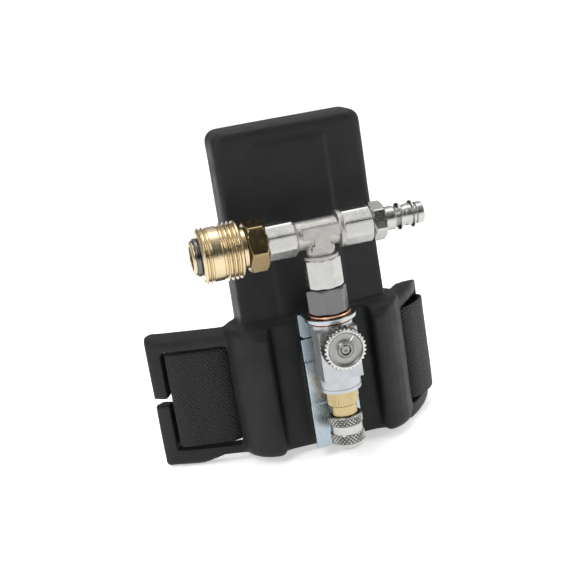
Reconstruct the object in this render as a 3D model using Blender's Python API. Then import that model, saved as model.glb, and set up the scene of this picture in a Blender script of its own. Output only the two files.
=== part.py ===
"""Belt-worn compressed-air regulator: a moulded hip pad on a webbing belt, with a zinc-plated bracket
that carries a needle valve, a tee, a quick coupler, a plug nipple and a small knurled coupling.

Metres, +Z up as worn. The origin is on the pad's flat back, the hip face, straight behind the middle of
the tee. The fittings face -Y and the wearer is at +Y. Sizes below are in millimetres.
"""

import math

import bmesh
import bpy
from mathutils import Matrix, Vector

MM = 0.001
GAP = 0.3                    # clearance between pieces that touch in the real object

# Pad
PAD_HALF_WIDTH = 37.5
PAD_TOP = 50.0
PAD_BOTTOM = -118.5
PAD_FRONT = -24.7
RIB_FRONT = -34.0
RIB_TOP = -46.0
RIB_BOTTOM = -115.0
RIB_INNER = 25.5             # half the channel's width
RIB_OUTER = 45.5
CHANNEL_FLOOR = -27.5
WING_TOP = -47.0
WING_ROOT = (46.0, -17.5)    # where the wing's front meets the window's inner edge
WING_BURIED = 33.3          # how far the wing reaches into the centre block
WING_THICKNESS = 8.5
WINDOW_LENGTH = 34.6
WINDOW_TOP = -56.3
WINDOW_BOTTOM = -109.3
BAR_SLIT = 3.0               # the slit that lets the webbing into the window
GROOVE_DEPTH = 3.2           # belt groove across the hip face
LEFT_WING = ((0.0, 17.0), (WINDOW_LENGTH, 24.0), (42.9, 48.0))     # (distance, heading in degrees)
RIGHT_WING = ((0.0, 44.0), (WINDOW_LENGTH, 68.0), (42.5, 76.0))

# Belt
WEBBING_WIDTH = 50.0
WEBBING_THICKNESS = 1.5
BELT_Z = (WINDOW_TOP + WINDOW_BOTTOM) / 2
BELT_BACK_Y = 30.0           # plane of the closed buckle behind the pad
BUCKLE_X = 6.0               # where its two halves meet, less the socket's lip
BUCKLE_THICKNESS = 9.0
BUCKLE_HEIGHT = 56.0
BUCKLE_BAR = 1.4             # half the thickness of the bar that the webbing is sewn round
ROLL_CENTRE = (2.0, 12.4)
ROLL_LENGTH = 54.0
ROLL_THICKNESS = 20.0

# The belt's route in plan, from its sewn end at the buckle's socket to the left wing, and the slack run
# from there to the buckle's hook
BELT_ROUTE = (
    (56.0, 32.8), (52.0, 33.1), (47.0, 33.1), (44.2, 32.4), (43.1, 30.0), (44.2, 27.6), (47.0, 26.9),
    (51.5, 25.3), (54.0, 21.0), (53.8, 15.5), (56.5, 10.6), (61.5, 7.6), (64.2, 4.8), (63.7, 0.7),
    (60.5, -4.4), (56.3, -8.5), (51.8, -11.6), (47.0, -12.4), (42.0, -8.5), (36.0, -3.2), (30.0, -1.4),
    (0.0, -1.4), (-30.0, -1.4), (-36.0, -3.2), (-42.0, -8.5), (-47.0, -12.4), (-54.0, -12.0),
    (-64.0, -9.2), (-70.5, -7.4), (-74.6, -5.0), (-75.3, -1.6), (-73.8, 2.6), (-72.0, 8.2),
)
SLACK_ROUTE = (
    (-71.85, 8.6), (-67.0, 15.5), (-60.0, 21.0), (-52.0, 25.5), (-43.0, 29.0), (-34.0, 30.0),
    (-25.5, 30.0),
)
BELT_SAG = 4.5               # how much lower the belt hangs behind the pad than in the wings

# Steel bracket and backing plate
PLATE_HALF = 15.0
PLATE_LOW = -108.0
PLATE_HIGH = -70.0
SCREW_HEIGHTS = (-78.0, -102.0)
UPPER_FACE = -40.6           # front of the upper bracket plate
CLIP_FACE = -38.6            # front of the clip plate
BRACKET_HALF = 12.7
EAR_TOP = -41.4
UPPER_PLATE_FOOT = -53.3
RIVET_HEIGHTS = (-56.9, -62.4)
CLIP_TOP = -54.7
CLIP_FOOT = -112.0
RETURN_BACK = -34.6

# Fittings: one vertical axis for the valve, one horizontal axis for the tee, coupler and plug
AXIS_Y = -55.0
SHANK_RADIUS = 5.3
SOCKET_BORE = 5.6
FLOW_BORE = 3.6
TEE_LEFT = -25.3
TEE_RIGHT = 25.1
TEE_FOOT = -25.5
TEE_FLATS = 16.6
COUPLER_HEX_LEFT = TEE_LEFT - GAP - 8.9
SLEEVE_RIGHT = -37.2
SLEEVE_LEFT = -56.2
NOSE_LEFT = -59.9
BALL_X = -52.4               # the coupler's locking balls
NIPPLE_FLATS = 17.6
NIPPLE_FOOT = -37.9
WASHER_RADIUS = 10.1
WASHER_THICKNESS = 1.0
SHEET = 1.6
FLANGE_TOP = NIPPLE_FOOT - WASHER_THICKNESS - 2 * GAP
VALVE_TOP = FLANGE_TOP - SHEET - WASHER_THICKNESS - 2 * GAP
VALVE_BOTTOM = -76.7
VALVE_RADIUS = 10.0
VALVE_FACE = AXIS_Y - 9.8
KNOB_Z = -51.9
KNOB_RADIUS = 10.2
KNOB_BACK = VALVE_FACE - 2.8
KNOB_FRONT = KNOB_BACK - 7.9
KNOB_TEETH = 30
INDEX_ANGLE = 50.0           # where the knob's index line points, from +X towards +Z
SPINDLE_RADIUS = 2.4
SEAT_Y = -54.0
SEAT_RADIUS = 1.3
LOWER_BALL_Z = -101.0


# ---------------------------------------------------------------- helpers


def clear_scene():
    for thing in list(bpy.data.objects):
        bpy.data.objects.remove(thing, do_unlink=True)


def material(name, colour, roughness, metallic=0.0):
    made = bpy.data.materials.get(name)
    if made is None:
        made = bpy.data.materials.new(name)
        made.use_nodes = True
        shader = made.node_tree.nodes["Principled BSDF"]
        shader.inputs["Base Color"].default_value = (*colour, 1.0)
        shader.inputs["Roughness"].default_value = roughness
        shader.inputs["Metallic"].default_value = metallic
    return made


def new_object(name, vertices, faces):
    """A mesh object from millimetre points."""
    mesh = bpy.data.meshes.new(name)
    mesh.from_pydata([Vector(v) * MM for v in vertices], [], faces)
    mesh.validate()
    work = bmesh.new()
    work.from_mesh(mesh)
    bmesh.ops.recalc_face_normals(work, faces=work.faces)
    bmesh.ops.triangulate(work, faces=work.faces)
    work.to_mesh(mesh)
    work.free()
    made = bpy.data.objects.new(name, mesh)
    bpy.context.collection.objects.link(made)
    return made


def finish(target, look, smooth=30.0):
    target.data.materials.clear()
    target.data.materials.append(look)
    target.data.shade_smooth()
    target.data.set_sharp_from_angle(angle=math.radians(smooth))
    return target


def place(target, matrix):
    """Moves the mesh itself, so that the object's own origin stays free for its joint."""
    scaled = matrix.copy()
    scaled.translation = matrix.translation * MM
    target.data.transform(scaled)
    target.data.update()
    return target


def boolean(target, tools, operation):
    """Applies Boolean modifiers one after another and removes the tools."""
    for tool in tools:
        modifier = target.modifiers.new("bool", "BOOLEAN")
        modifier.operation = operation
        modifier.solver = "EXACT"
        modifier.object = tool
        bpy.context.view_layer.update()
        graph = bpy.context.evaluated_depsgraph_get()
        result = bpy.data.meshes.new_from_object(target.evaluated_get(graph))
        target.modifiers.clear()
        tidy(result)
        old = target.data
        target.data = result
        bpy.data.meshes.remove(old)
        bpy.data.objects.remove(tool, do_unlink=True)
    return target


def tidy(mesh):
    """Joins points that a cut left on top of each other, and splits bent faces into triangles."""
    work = bmesh.new()
    work.from_mesh(mesh)
    bmesh.ops.remove_doubles(work, verts=work.verts, dist=2e-6)
    bmesh.ops.dissolve_limit(work, angle_limit=math.radians(0.2), verts=work.verts, edges=work.edges)
    bmesh.ops.triangulate(work, faces=work.faces)
    work.to_mesh(mesh)
    work.free()


def cut(target, *tools):
    return boolean(target, tools, "DIFFERENCE")


def join(target, *tools):
    return boolean(target, tools, "UNION")


def intersect(target, *tools):
    return boolean(target, tools, "INTERSECT")


def ring_solid(name, rings, closed=False):
    """Skins a stack of equal rings of points; closed joins the last ring to the first."""
    count = len(rings[0])
    vertices = [p for ring in rings for p in ring]
    faces = []
    pairs = len(rings) if closed else len(rings) - 1
    for k in range(pairs):
        low, high = k * count, ((k + 1) % len(rings)) * count
        for i in range(count):
            j = (i + 1) % count
            faces.append((low + i, low + j, high + j, high + i))
    if not closed:
        faces.append(tuple(range(count)))
        faces.append(tuple(range((len(rings) - 1) * count, len(rings) * count)))
    return new_object(name, vertices, faces)


def lathe(name, profile, centre, axis, segments=48, hollow=True):
    """Turns (distance along axis, radius) points about axis through centre.
    hollow closes the profile on itself, as for a tube; otherwise both ends are capped flat."""
    along = Vector(axis).normalized()
    side = along.orthogonal().normalized()
    if abs(along.z) > 0.5:
        side = Vector((1, 0, 0))
    up = along.cross(side)
    start = Vector(centre)
    rings = []
    for distance, radius in profile:
        ring = []
        for i in range(segments):
            angle = 2 * math.pi * (i + 0.5) / segments
            spoke = side * math.cos(angle) + up * math.sin(angle)
            ring.append(start + along * distance + spoke * radius)
        rings.append(ring)
    return ring_solid(name, rings, closed=hollow)


def rod(name, start, end, radius, segments=20):
    start, end = Vector(start), Vector(end)
    span = end - start
    return lathe(name, [(0, radius), (span.length, radius)], start, span, segments, hollow=False)


def box(name, low, high):
    x0, y0, z0 = low
    x1, y1, z1 = high
    rings = [[(x0, y0, z), (x1, y0, z), (x1, y1, z), (x0, y1, z)] for z in (z0, z1)]
    return ring_solid(name, rings)


def prism(name, outline, low, high, axis="Z"):
    """Extrudes a flat outline. Outline axes: XY for Z, XZ for Y."""
    if axis == "Z":
        rings = [[(a, b, level) for a, b in outline] for level in (low, high)]
    else:
        rings = [[(a, level, b) for a, b in outline] for level in (low, high)]
    return ring_solid(name, rings)


def arc(centre, radius, start, end, steps):
    """Points on an arc, in degrees."""
    points = []
    for i in range(steps + 1):
        angle = math.radians(start + (end - start) * i / steps)
        points.append((centre[0] + radius * math.cos(angle), centre[1] + radius * math.sin(angle)))
    return points


def polygon_across_flats(flats, sides, turn=0.0):
    radius = flats / 2 / math.cos(math.pi / sides)
    return [
        (radius * math.cos(math.radians(turn) + 2 * math.pi * i / sides),
         radius * math.sin(math.radians(turn) + 2 * math.pi * i / sides))
        for i in range(sides)
    ]


def flats_prism(name, flats, sides, low, high, centre, axis, turn=0.0, chamfer=0.6):
    """A hexagon or octagon bar along +X or -Z from low to high, with its corners turned back."""
    outline = polygon_across_flats(flats, sides, turn)
    if axis == "X":
        rings = [[(d, centre[1] + a, centre[2] + b) for a, b in outline] for d in (low, high)]
        direction, start = (1, 0, 0), (low, centre[1], centre[2])
    else:
        rings = [[(centre[0] + a, centre[1] + b, d) for a, b in outline] for d in (low, high)]
        direction, start = (0, 0, 1), (centre[0], centre[1], low)
    bar = ring_solid(name, rings)
    corner = flats / 2 / math.cos(math.pi / sides)
    length = high - low
    turned = lathe(name + "_turned", [
        (0, flats / 2 - 0.1), (chamfer, corner + 0.05),
        (length - chamfer, corner + 0.05), (length, flats / 2 - 0.1),
    ], start, direction, 30, hollow=False)
    return intersect(bar, turned)


def spring(name, start, axis, length, coil_radius, wire, turns, segments=14):
    """A closed helical wire with flat, capped ends."""
    along = Vector(axis).normalized()
    side = along.orthogonal().normalized()
    up = along.cross(side)
    steps = int(turns * segments)
    origin = Vector(start) + along * wire
    rings = []
    for i in range(steps + 1):
        angle = 2 * math.pi * i / segments
        spoke = side * math.cos(angle) + up * math.sin(angle)
        tangent = (up * math.cos(angle) - side * math.sin(angle)) * coil_radius
        tangent += along * (length - 2 * wire) / turns / (2 * math.pi)
        tangent.normalize()
        second = spoke.cross(tangent)
        middle = origin + along * (length - 2 * wire) * i / steps + spoke * coil_radius
        ring = []
        for k in range(4):
            turn = 2 * math.pi * k / 4
            ring.append(middle + (spoke * math.cos(turn) + second * math.sin(turn)) * wire / 2)
        rings.append(ring)
    return ring_solid(name, rings)


def ball(name, centre, radius):
    profile = [(radius * (1 - math.cos(math.pi * k / 6)), radius * math.sin(math.pi * k / 6))
               for k in range(1, 6)]
    start = Vector(centre) - Vector((0, 0, radius))
    return lathe(name, profile, start, (0, 0, 1), 10, hollow=False)


def pivot(name, members, position):
    """A parent empty on a joint's axis."""
    empty = bpy.data.objects.new(name, None)
    empty.empty_display_size = 0.01
    bpy.context.collection.objects.link(empty)
    empty.location = Vector(position) * MM
    bpy.context.view_layer.update()
    for member in members:
        member.parent = empty
        member.matrix_parent_inverse = empty.matrix_world.inverted()
    return empty


# ---------------------------------------------------------------- pad


def wing_front(knots, length, side, step=3.0):
    """The wing's front line in plan from the window's inner edge: (point, outward normal) pairs."""
    count = max(2, round(length / step))
    x, y = WING_ROOT
    samples = []
    for i in range(count + 1):
        s = length * i / count
        heading = math.radians(interpolate(knots, s))
        samples.append(((side * x, y), (side * math.sin(heading), -math.cos(heading))))
        middle = math.radians(interpolate(knots, s + length / count / 2))
        x += math.cos(middle) * length / count
        y += math.sin(middle) * length / count
    return samples


def interpolate(knots, s):
    for (s0, h0), (s1, h1) in zip(knots, knots[1:]):
        if s <= s1:
            return h0 + (h1 - h0) * (s - s0) / (s1 - s0)
    return knots[-1][1]


def shifted(samples, distance):
    return [(p[0] + n[0] * distance, p[1] + n[1] * distance) for p, n in samples]


def rounded_prism(name, outline, radii, low, high, to_point, low_radius=None):
    """Extrudes an outline whose end edges are rounded, each outline point by its own radius."""
    count = len(outline)
    area = sum(outline[i][0] * outline[(i + 1) % count][1] - outline[(i + 1) % count][0] * outline[i][1]
               for i in range(count))
    inward = 1 if area > 0 else -1
    normals = []
    for i in range(count):
        before, here, after = outline[i - 1], outline[i], outline[(i + 1) % count]
        first = Vector((here[0] - before[0], here[1] - before[1])).normalized()
        second = Vector((after[0] - here[0], after[1] - here[1])).normalized()
        bisector = (Vector((-first.y, first.x)) + Vector((-second.y, second.x))) * inward
        bisector.normalize()
        normals.append(bisector / max(0.6, bisector.dot(Vector((-first.y, first.x)) * inward)))
    largest = max(radii)
    steps = [largest * (1 - math.cos(math.pi / 2 * k / 3)) for k in range(4)]

    def ring(level, depth, scale):
        points = []
        for (a, b), normal, radius in zip(outline, normals, radii):
            r = radius * scale
            left = max(0.0, 1 - depth / r) if r > 0 else 0.0
            inset = r * (1 - math.sqrt(max(0.0, 1 - left * left)))
            inset = min(inset, r * 0.98)
            points.append(to_point(a + normal.x * inset, b + normal.y * inset, level))
        return points

    low_scale = 1.0 if low_radius is None else low_radius / largest
    rings = [ring(low + s * low_scale, s * low_scale, low_scale) for s in steps]
    rings += [ring(high - s, s, 1.0) for s in reversed(steps)]
    return ring_solid(name, rings)


def wing(side, knots, name):
    length = knots[-1][0]
    samples = wing_front(knots, length, side)
    front = [(side * WING_BURIED, WING_ROOT[1])] + shifted(samples, 0.0)
    back = list(reversed(shifted(samples, -WING_THICKNESS)))
    tip_point, tip_normal = samples[-1]
    along = (side * -tip_normal[1], side * tip_normal[0])
    tip = [(tip_point[0] - tip_normal[0] * d + along[0] * e, tip_point[1] - tip_normal[1] * d + along[1] * e)
           for d, e in ((2.2, 1.5), (WING_THICKNESS - 2.2, 1.5))]
    outline = front + tip + back + [(side * WING_BURIED, -8.3)]
    radii = [5.5] * (len(front) - 2) + [4.0, 2.5] + [2.0] * (len(back) + 3)
    made = rounded_prism(name, outline, radii, PAD_BOTTOM, WING_TOP, lambda a, b, c: (a, b, c), 4.0)
    return made


def wing_notch():
    """The left wing's lower edge is cut a little short beside the rib."""
    below = PAD_BOTTOM - 6.0
    outline = [(-28.0, below), (-28.0, -114.9), (-48.0, -114.3), (-56.0, -114.2), (-66.5, -118.1),
               (-72.0, PAD_BOTTOM - 1.0), (-72.0, below)]
    return prism("wing_notch", outline, -45.0, 60.0, axis="Y")


def wing_slope():
    """The right wing's upper edge falls away towards its tip."""
    outline = [(-3.0, WING_TOP), (30.0, WING_TOP - 8.8), (30.0, WING_TOP + 3.0), (-3.0, WING_TOP + 3.0)]
    return ring_solid("wing_slope", [[(x, y, z) for y, z in outline] for x in (46.0, 80.0)])


def centre_block():
    half = [(0.0, CHANNEL_FLOOR)]
    half += arc((RIB_INNER - 2.5, CHANNEL_FLOOR - 2.5), 2.5, 90, 0, 3)
    half += arc((RIB_INNER + 4.0, RIB_FRONT + 4.0), 4.0, 180, 270, 4)
    half += [(32.5, -33.5), (36.5, -31.6), (40.3, -28.4), (43.5, -24.0), (RIB_OUTER, -19.0)]
    half += [(RIB_OUTER, -12.0), (42.0, -6.0), (36.0, -2.0), (33.5, 0.0)]
    mirrored = [(-x, y) for x, y in reversed(half[1:])]
    outline = half + [(0.0, 0.0)] + mirrored
    radii = []
    for x, y in outline:
        radii.append(3.8 if abs(x) > RIB_INNER - 1 and y < WING_ROOT[1] - 1 else 2.0)
    return rounded_prism("centre_block", outline, radii, RIB_BOTTOM, RIB_TOP, lambda a, b, c: (a, b, c), 3.8)


def upper_pad():
    w, r = PAD_HALF_WIDTH, 6.0
    low = RIB_TOP - 4.0
    outline = [(-w, low), (w, low)]
    outline += arc((w - r, PAD_TOP - r), r, 0, 90, 4) + arc((-w + r, PAD_TOP - r), r, 90, 180, 4)
    radii = [0.5, 0.5] + [4.5] * (len(outline) - 2)
    return rounded_prism("upper_pad", outline, radii, PAD_FRONT, 0.0, lambda a, b, c: (a, c, b))


def front_panel():
    """The slightly raised middle of the upper pad's front."""
    w, top, low = 22.0, PAD_TOP - 5.0, RIB_TOP - 2.0
    rings = []
    for level, inset in ((PAD_FRONT + 2.0, 0.0), (PAD_FRONT - 0.8, 5.0)):
        rings.append([(-w + inset, level, low), (w - inset, level, low),
                      (w - inset, level, top - inset), (-w + inset, level, top - inset)])
    return ring_solid("front_panel", rings)


def window_cutter(side, knots, name):
    samples = wing_front(knots, WINDOW_LENGTH, side)
    outer = shifted(samples, 4.0)
    end_point, end_normal = samples[-1]
    inner = (end_point[0] - end_normal[0] * 14.0, end_point[1] - end_normal[1] * 14.0)
    shelf = [(side * 33.0, 6.0), (side * 33.0, -GROOVE_DEPTH), (side * 36.2, -4.8),
             (side * 42.2, -10.6), (side * 45.6, -14.6)]
    return prism(name, outer + [inner] + shelf, WINDOW_BOTTOM, WINDOW_TOP)


def slit_cutter(side, knots, name):
    samples = wing_front(knots, knots[-1][0], side)
    (px, py), (nx, ny) = samples[-2]
    ax, ay = side * -ny, side * nx
    outline = []
    for along, out in ((-12, 12), (16, 12), (16, -18), (-12, -18)):
        outline.append((px + ax * along + nx * out, py + ay * along + ny * out))
    return prism(name, outline, BELT_Z - BAR_SLIT / 2, BELT_Z + BAR_SLIT / 2)


def make_pad():
    pad = centre_block()
    left = cut(wing(-1, LEFT_WING, "wing_left"), wing_notch())
    right = cut(wing(1, RIGHT_WING, "wing_right"), wing_slope())
    join(pad, left, right, upper_pad(),
         front_panel(), box("pedestal", (-10, -36.4, -113.0), (10, -26.0, -66.5)))
    slope = [[(x, -45, -53), (x, -45, -35), (x, PAD_FRONT - 0.5, -35), (x, PAD_FRONT - 0.5, RIB_TOP + 0.5),
              (x, RIB_FRONT + 3.0, RIB_TOP - 2.7), (x, RIB_FRONT + 0.6, RIB_TOP - 6.2)] for x in (-60, 60)]
    cut(pad, ring_solid("rib_slope", slope))
    cut(pad, window_cutter(-1, LEFT_WING, "window_left"), window_cutter(1, RIGHT_WING, "window_right"))
    cut(pad, slit_cutter(-1, LEFT_WING, "slit_left"), slit_cutter(1, RIGHT_WING, "slit_right"))
    cut(pad, box("groove", (-34, -GROOVE_DEPTH, WINDOW_BOTTOM), (34, 6, WINDOW_TOP)))
    cut(pad, box("plate_pocket", (-PLATE_HALF - 0.5, -5.6, PLATE_LOW - 0.5),
                 (PLATE_HALF + 0.5, 0, PLATE_HIGH + 0.5)))
    for z in SCREW_HEIGHTS:
        cut(pad, rod("screw_hole", (0, -45, z), (0, -2, z), 2.3, 20))
        cut(pad, rod("nut_hole", (0, -9.6, z), (0, -2, z), 4.9, 20))
    pad.name = pad.data.name = "pad_shell"
    return finish(pad, material("pad_black", (0.012, 0.012, 0.013), 0.55), 35)


def make_backing_plate():
    plate = box("backing_plate", (-PLATE_HALF, -5.2, PLATE_LOW), (PLATE_HALF, -3.7, PLATE_HIGH))
    for z in SCREW_HEIGHTS:
        join(plate, rod("weld_nut", (0, -9.2, z), (0, -4.5, z), 4.5, 6))
        cut(plate, rod("thread", (0, -11, z), (0, -2, z), 2.3, 20))
    return finish(plate, material("zinc_steel", (0.55, 0.57, 0.60), 0.32, 1.0))


# ---------------------------------------------------------------- bracket

def make_flange_bracket():
    neck, ear, half = 6.5, EAR_TOP, BRACKET_HALF
    ring_centre = (0, AXIS_Y, FLANGE_TOP)
    bracket = rod("flange_bracket", ring_centre, (0, AXIS_Y, FLANGE_TOP - SHEET), 12.25, 28)
    join(bracket, box("neck", (-neck, AXIS_Y, FLANGE_TOP - SHEET), (neck, UPPER_FACE + SHEET, FLANGE_TOP)))
    outline = [(-half, UPPER_PLATE_FOOT + 1.5), (-half, ear), (-half + 1.5, ear), (-neck - 1.6, -45.6),
               (-neck - 1.6, -47.2), (-neck, -47.2), (-neck, FLANGE_TOP - 0.2)]
    outline += [(-x, z) for x, z in reversed(outline)]
    outline += [(half - 1.5, UPPER_PLATE_FOOT), (5.0, UPPER_PLATE_FOOT), (5.0, -65.0), (-5.0, -65.0),
                (-5.0, UPPER_PLATE_FOOT), (-half + 1.5, UPPER_PLATE_FOOT)]
    join(bracket, prism("plate", outline, UPPER_FACE, UPPER_FACE + SHEET, axis="Y"))
    for side in (-1, 1):
        inner, outer = sorted((side * (half - SHEET), side * half))
        join(bracket, box("return", (inner, UPPER_FACE + 0.4, UPPER_PLATE_FOOT + 1.5),
                          (outer, RETURN_BACK, ear)))
    cut(bracket, rod("flange_hole", (0, AXIS_Y, FLANGE_TOP + 2), (0, AXIS_Y, FLANGE_TOP - 4), 6.6, 24))
    for z in RIVET_HEIGHTS:
        cut(bracket, rod("rivet_hole", (0, -50, z), (0, -30, z), 1.8, 16))
    return finish(bracket, material("zinc_steel", (0.55, 0.57, 0.60), 0.32, 1.0))


def make_clip_plate():
    half, back = 12.3, CLIP_FACE + SHEET
    steps = ((CLIP_TOP, 0.0), (-65.7, 0.0), (-66.7, -0.9), (-88.2, -0.9), (-89.2, 0.0), (CLIP_FOOT, 0.0))
    front = [(CLIP_FACE + rise, z) for z, rise in steps]
    rear = [(back + rise, z) for z, rise in reversed(steps)]
    rings = [[(x, y, z) for y, z in front + rear] for x in (-half, half)]
    plate = ring_solid("clip_plate", rings)
    for side in (-1, 1):
        inner, outer = sorted((side * (half - SHEET), side * half))
        join(plate, box("return", (inner, CLIP_FACE + 0.5, CLIP_FOOT + 1.5),
                        (outer, RETURN_BACK, CLIP_TOP - 1.0)))
    for z in SCREW_HEIGHTS:
        cut(plate, rod("screw_hole", (0, -45, z), (0, -30, z), 2.4, 20))
    for z in RIVET_HEIGHTS:
        cut(plate, rod("rivet_hole", (0, -45, z), (0, -30, z), 1.8, 16))
    return finish(plate, material("zinc_steel", (0.55, 0.57, 0.60), 0.32, 1.0))


def make_rivet(name, z):
    head = UPPER_FACE - GAP
    tail = CLIP_FACE + SHEET + GAP
    profile = [(0, 1.6), (0.7, 2.6), (1.1, 2.7), (1.1, 1.5), (1.1 + tail - head, 1.5)]
    profile += [(1.1 + tail - head, 2.6), (1.8 + tail - head, 2.6)]
    rivet = lathe(name, profile, (0, head - 1.1, z), (0, 1, 0), 12, hollow=False)
    return finish(rivet, material("zinc_steel", (0.55, 0.57, 0.60), 0.32, 1.0))


def make_clip_screw(name, z):
    face = CLIP_FACE - (0.9 if z > -88 else 0.0) - GAP
    profile = [(0, 2.2), (0.5, 3.2), (2.2, 3.5), (2.2, 2.0), (-5.0 - face, 2.0)]
    screw = lathe(name, profile, (0, face - 2.2, z), (0, 1, 0), 16, hollow=False)
    cut(screw, place(flats_prism("hex_socket", 2.5, 6, 0, 1.4, (0, 0, 0), "Z", 0, 0.0),
                     Matrix.Translation((0, face - 2.4, z)) @ Matrix.Rotation(-math.pi / 2, 4, "X")))
    return finish(screw, material("black_steel", (0.05, 0.05, 0.055), 0.4, 1.0))


# ---------------------------------------------------------------- tee row


def make_tee():
    at = (0, AXIS_Y, 0)
    tee = flats_prism("tee_body", TEE_FLATS, 8, TEE_LEFT, -11.9, at, "X", 22.5)
    join(tee, flats_prism("socket_right", TEE_FLATS, 8, 11.1, TEE_RIGHT, at, "X", 22.5))
    foot = flats_prism("socket_foot", TEE_FLATS, 8, TEE_FOOT, -11.5, at, "Z", 22.5)
    run = lathe("run", [(0, 6.9), (1.4, 8.0), (1.8, 6.75), (21.4, 6.75), (22.0, 8.9), (24.4, 8.9)],
                (-13.0, AXIS_Y, 0), (1, 0, 0), 24, hollow=False)
    stem = lathe("stem", [(0, 6.6), (9.6, 6.6), (10.4, 8.2), (12.2, 8.2)],
                 (0, AXIS_Y, 0), (0, 0, -1), 24, hollow=False)
    crotch = lathe("crotch", [(0, 4.0), (2.5, 7.3), (8.0, 7.7), (11.5, 5.0)],
                   (0, AXIS_Y, 5.0), (0, 0, -1), 16, hollow=False)
    join(tee, run, stem, crotch, foot)
    mark = [(-8.6, 4.6), (-8.6, -0.6), (-3.6, -0.6), (-3.6, -4.4), (-5.0, -4.4), (-5.0, -7.2),
            (5.0, -7.2), (5.0, -4.4), (3.6, -4.4), (3.6, -0.6), (8.6, -0.6), (8.6, 4.6)]
    join(tee, prism("plateau", mark, AXIS_Y - 7.7, AXIS_Y - 4.0, axis="Y"))
    cut(tee, rod("run_bore", (-30, AXIS_Y, 0), (30, AXIS_Y, 0), FLOW_BORE, 16))
    cut(tee, rod("foot_bore", (0, AXIS_Y, 0), (0, AXIS_Y, -30), FLOW_BORE - 0.1, 16))
    for low, high in ((TEE_LEFT - 2, TEE_LEFT + 11.0), (TEE_RIGHT - 11.0, TEE_RIGHT + 2)):
        cut(tee, rod("socket_bore", (low, AXIS_Y, 0), (high, AXIS_Y, 0), SOCKET_BORE, 24))
    cut(tee, rod("foot_socket", (0, AXIS_Y, TEE_FOOT - 2), (0, AXIS_Y, TEE_FOOT + 11.0), SOCKET_BORE, 24))
    return finish(tee, material("nickel_cast", (0.62, 0.60, 0.56), 0.36, 1.0))


def shank(name, start, direction, length=10.0):
    """A threaded end, drawn plain at the thread's outer size."""
    profile = [(0, SHANK_RADIUS), (length - 0.8, SHANK_RADIUS), (length, SHANK_RADIUS - 0.8)]
    return lathe(name, profile, start, direction, 24, hollow=False)


def make_coupler_rear_body():
    right = TEE_LEFT - GAP
    left = right - 8.9
    body = flats_prism("coupler_rear_body", 22.0, 6, left, right, (0, AXIS_Y, 0), "X", 8.0, 1.2)
    join(body, shank("shank", (right - 1, AXIS_Y, 0), (1, 0, 0), 10.5))
    join(body, rod("spigot", (left + 1, AXIS_Y, 0), (left - 6.0, AXIS_Y, 0), 7.0, 36))
    cut(body, rod("flow", (-60, AXIS_Y, 0), (0, AXIS_Y, 0), FLOW_BORE, 24))
    cut(body, rod("spring_seat", (left - 8, AXIS_Y, 0), (left + 3.0, AXIS_Y, 0), 5.4, 30))
    return finish(body, material("bronze_dark", (0.33, 0.22, 0.11), 0.34, 1.0))


def make_coupler_front_body():
    """The brass barrel: collar, ball cage and nose, bored for the plug and the valve poppet."""
    left, right = NOSE_LEFT, COUPLER_HEX_LEFT - GAP
    profile = [
        (left, 5.6), (left, 7.2), (left + 0.8, 8.0), (left + 1.2, 8.0), (left + 1.2, 7.6),
        (-40.0, 7.6), (-39.2, 9.6), (right, 9.6), (right, 7.35), (-41.0, 7.35), (-41.0, 6.4),
        (-48.0, 6.4), (-48.0, 5.6),
    ]
    body = lathe("coupler_front_body", [(x - left, r) for x, r in profile],
                 (left, AXIS_Y, 0), (1, 0, 0), 20)
    for k in range(4):
        angle = math.pi / 2 * k + math.pi / 4
        spoke = Vector((0, math.cos(angle), math.sin(angle)))
        middle = Vector((BALL_X, AXIS_Y, 0))
        cut(body, rod("ball_hole", middle + spoke * 3.5, middle + spoke * 10, 1.35, 8))
    return finish(body, material("brass", (0.80, 0.62, 0.30), 0.22, 1.0))


def make_coupler_nose_ring():
    left = NOSE_LEFT + 1.5
    profile = [(0, 7.9), (0, 8.5), (0.5, 8.8), (1.7, 8.8), (2.1, 8.4), (2.1, 7.9)]
    ring = lathe("coupler_nose_ring", profile, (left, AXIS_Y, 0), (1, 0, 0), 24)
    return finish(ring, material("dark_steel", (0.20, 0.20, 0.21), 0.3, 1.0))


def make_coupler_sleeve():
    """Ridged sleeve that slides towards the hexagon to free the plug."""
    crest, root, band = 13.5, 12.1, 12.6
    outer = [(SLEEVE_LEFT, 11.6)]
    for x in (-55.0, -53.1):
        outer += [(x - 0.6, root), (x, crest - 0.3), (x + 0.6, root)]
    outer += [(-51.8, band), (-46.6, band), (-46.0, root)]
    for x in (-44.9, -42.8, -40.7):
        outer += [(x - 0.6, root), (x, crest), (x + 0.6, root)]
    outer += [(-38.9, crest), (-38.0, crest), (SLEEVE_RIGHT, 12.2)]
    inner = [(SLEEVE_RIGHT, 10.0), (-46.5, 10.0), (-46.5, 8.0), (-53.6, 8.0), (-54.0, 8.9), (-55.6, 8.9),
             (-55.6, 8.2), (SLEEVE_LEFT, 8.2)]
    profile = [(x - SLEEVE_LEFT, r) for x, r in outer + inner]
    sleeve = lathe("coupler_sleeve", profile, (SLEEVE_LEFT, AXIS_Y, 0), (1, 0, 0), 24)
    finish(sleeve, material("brass", (0.80, 0.62, 0.30), 0.22, 1.0), 20)
    pivot("coupler_sleeve_slide", [sleeve], (SLEEVE_LEFT, AXIS_Y, 0))


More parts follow.
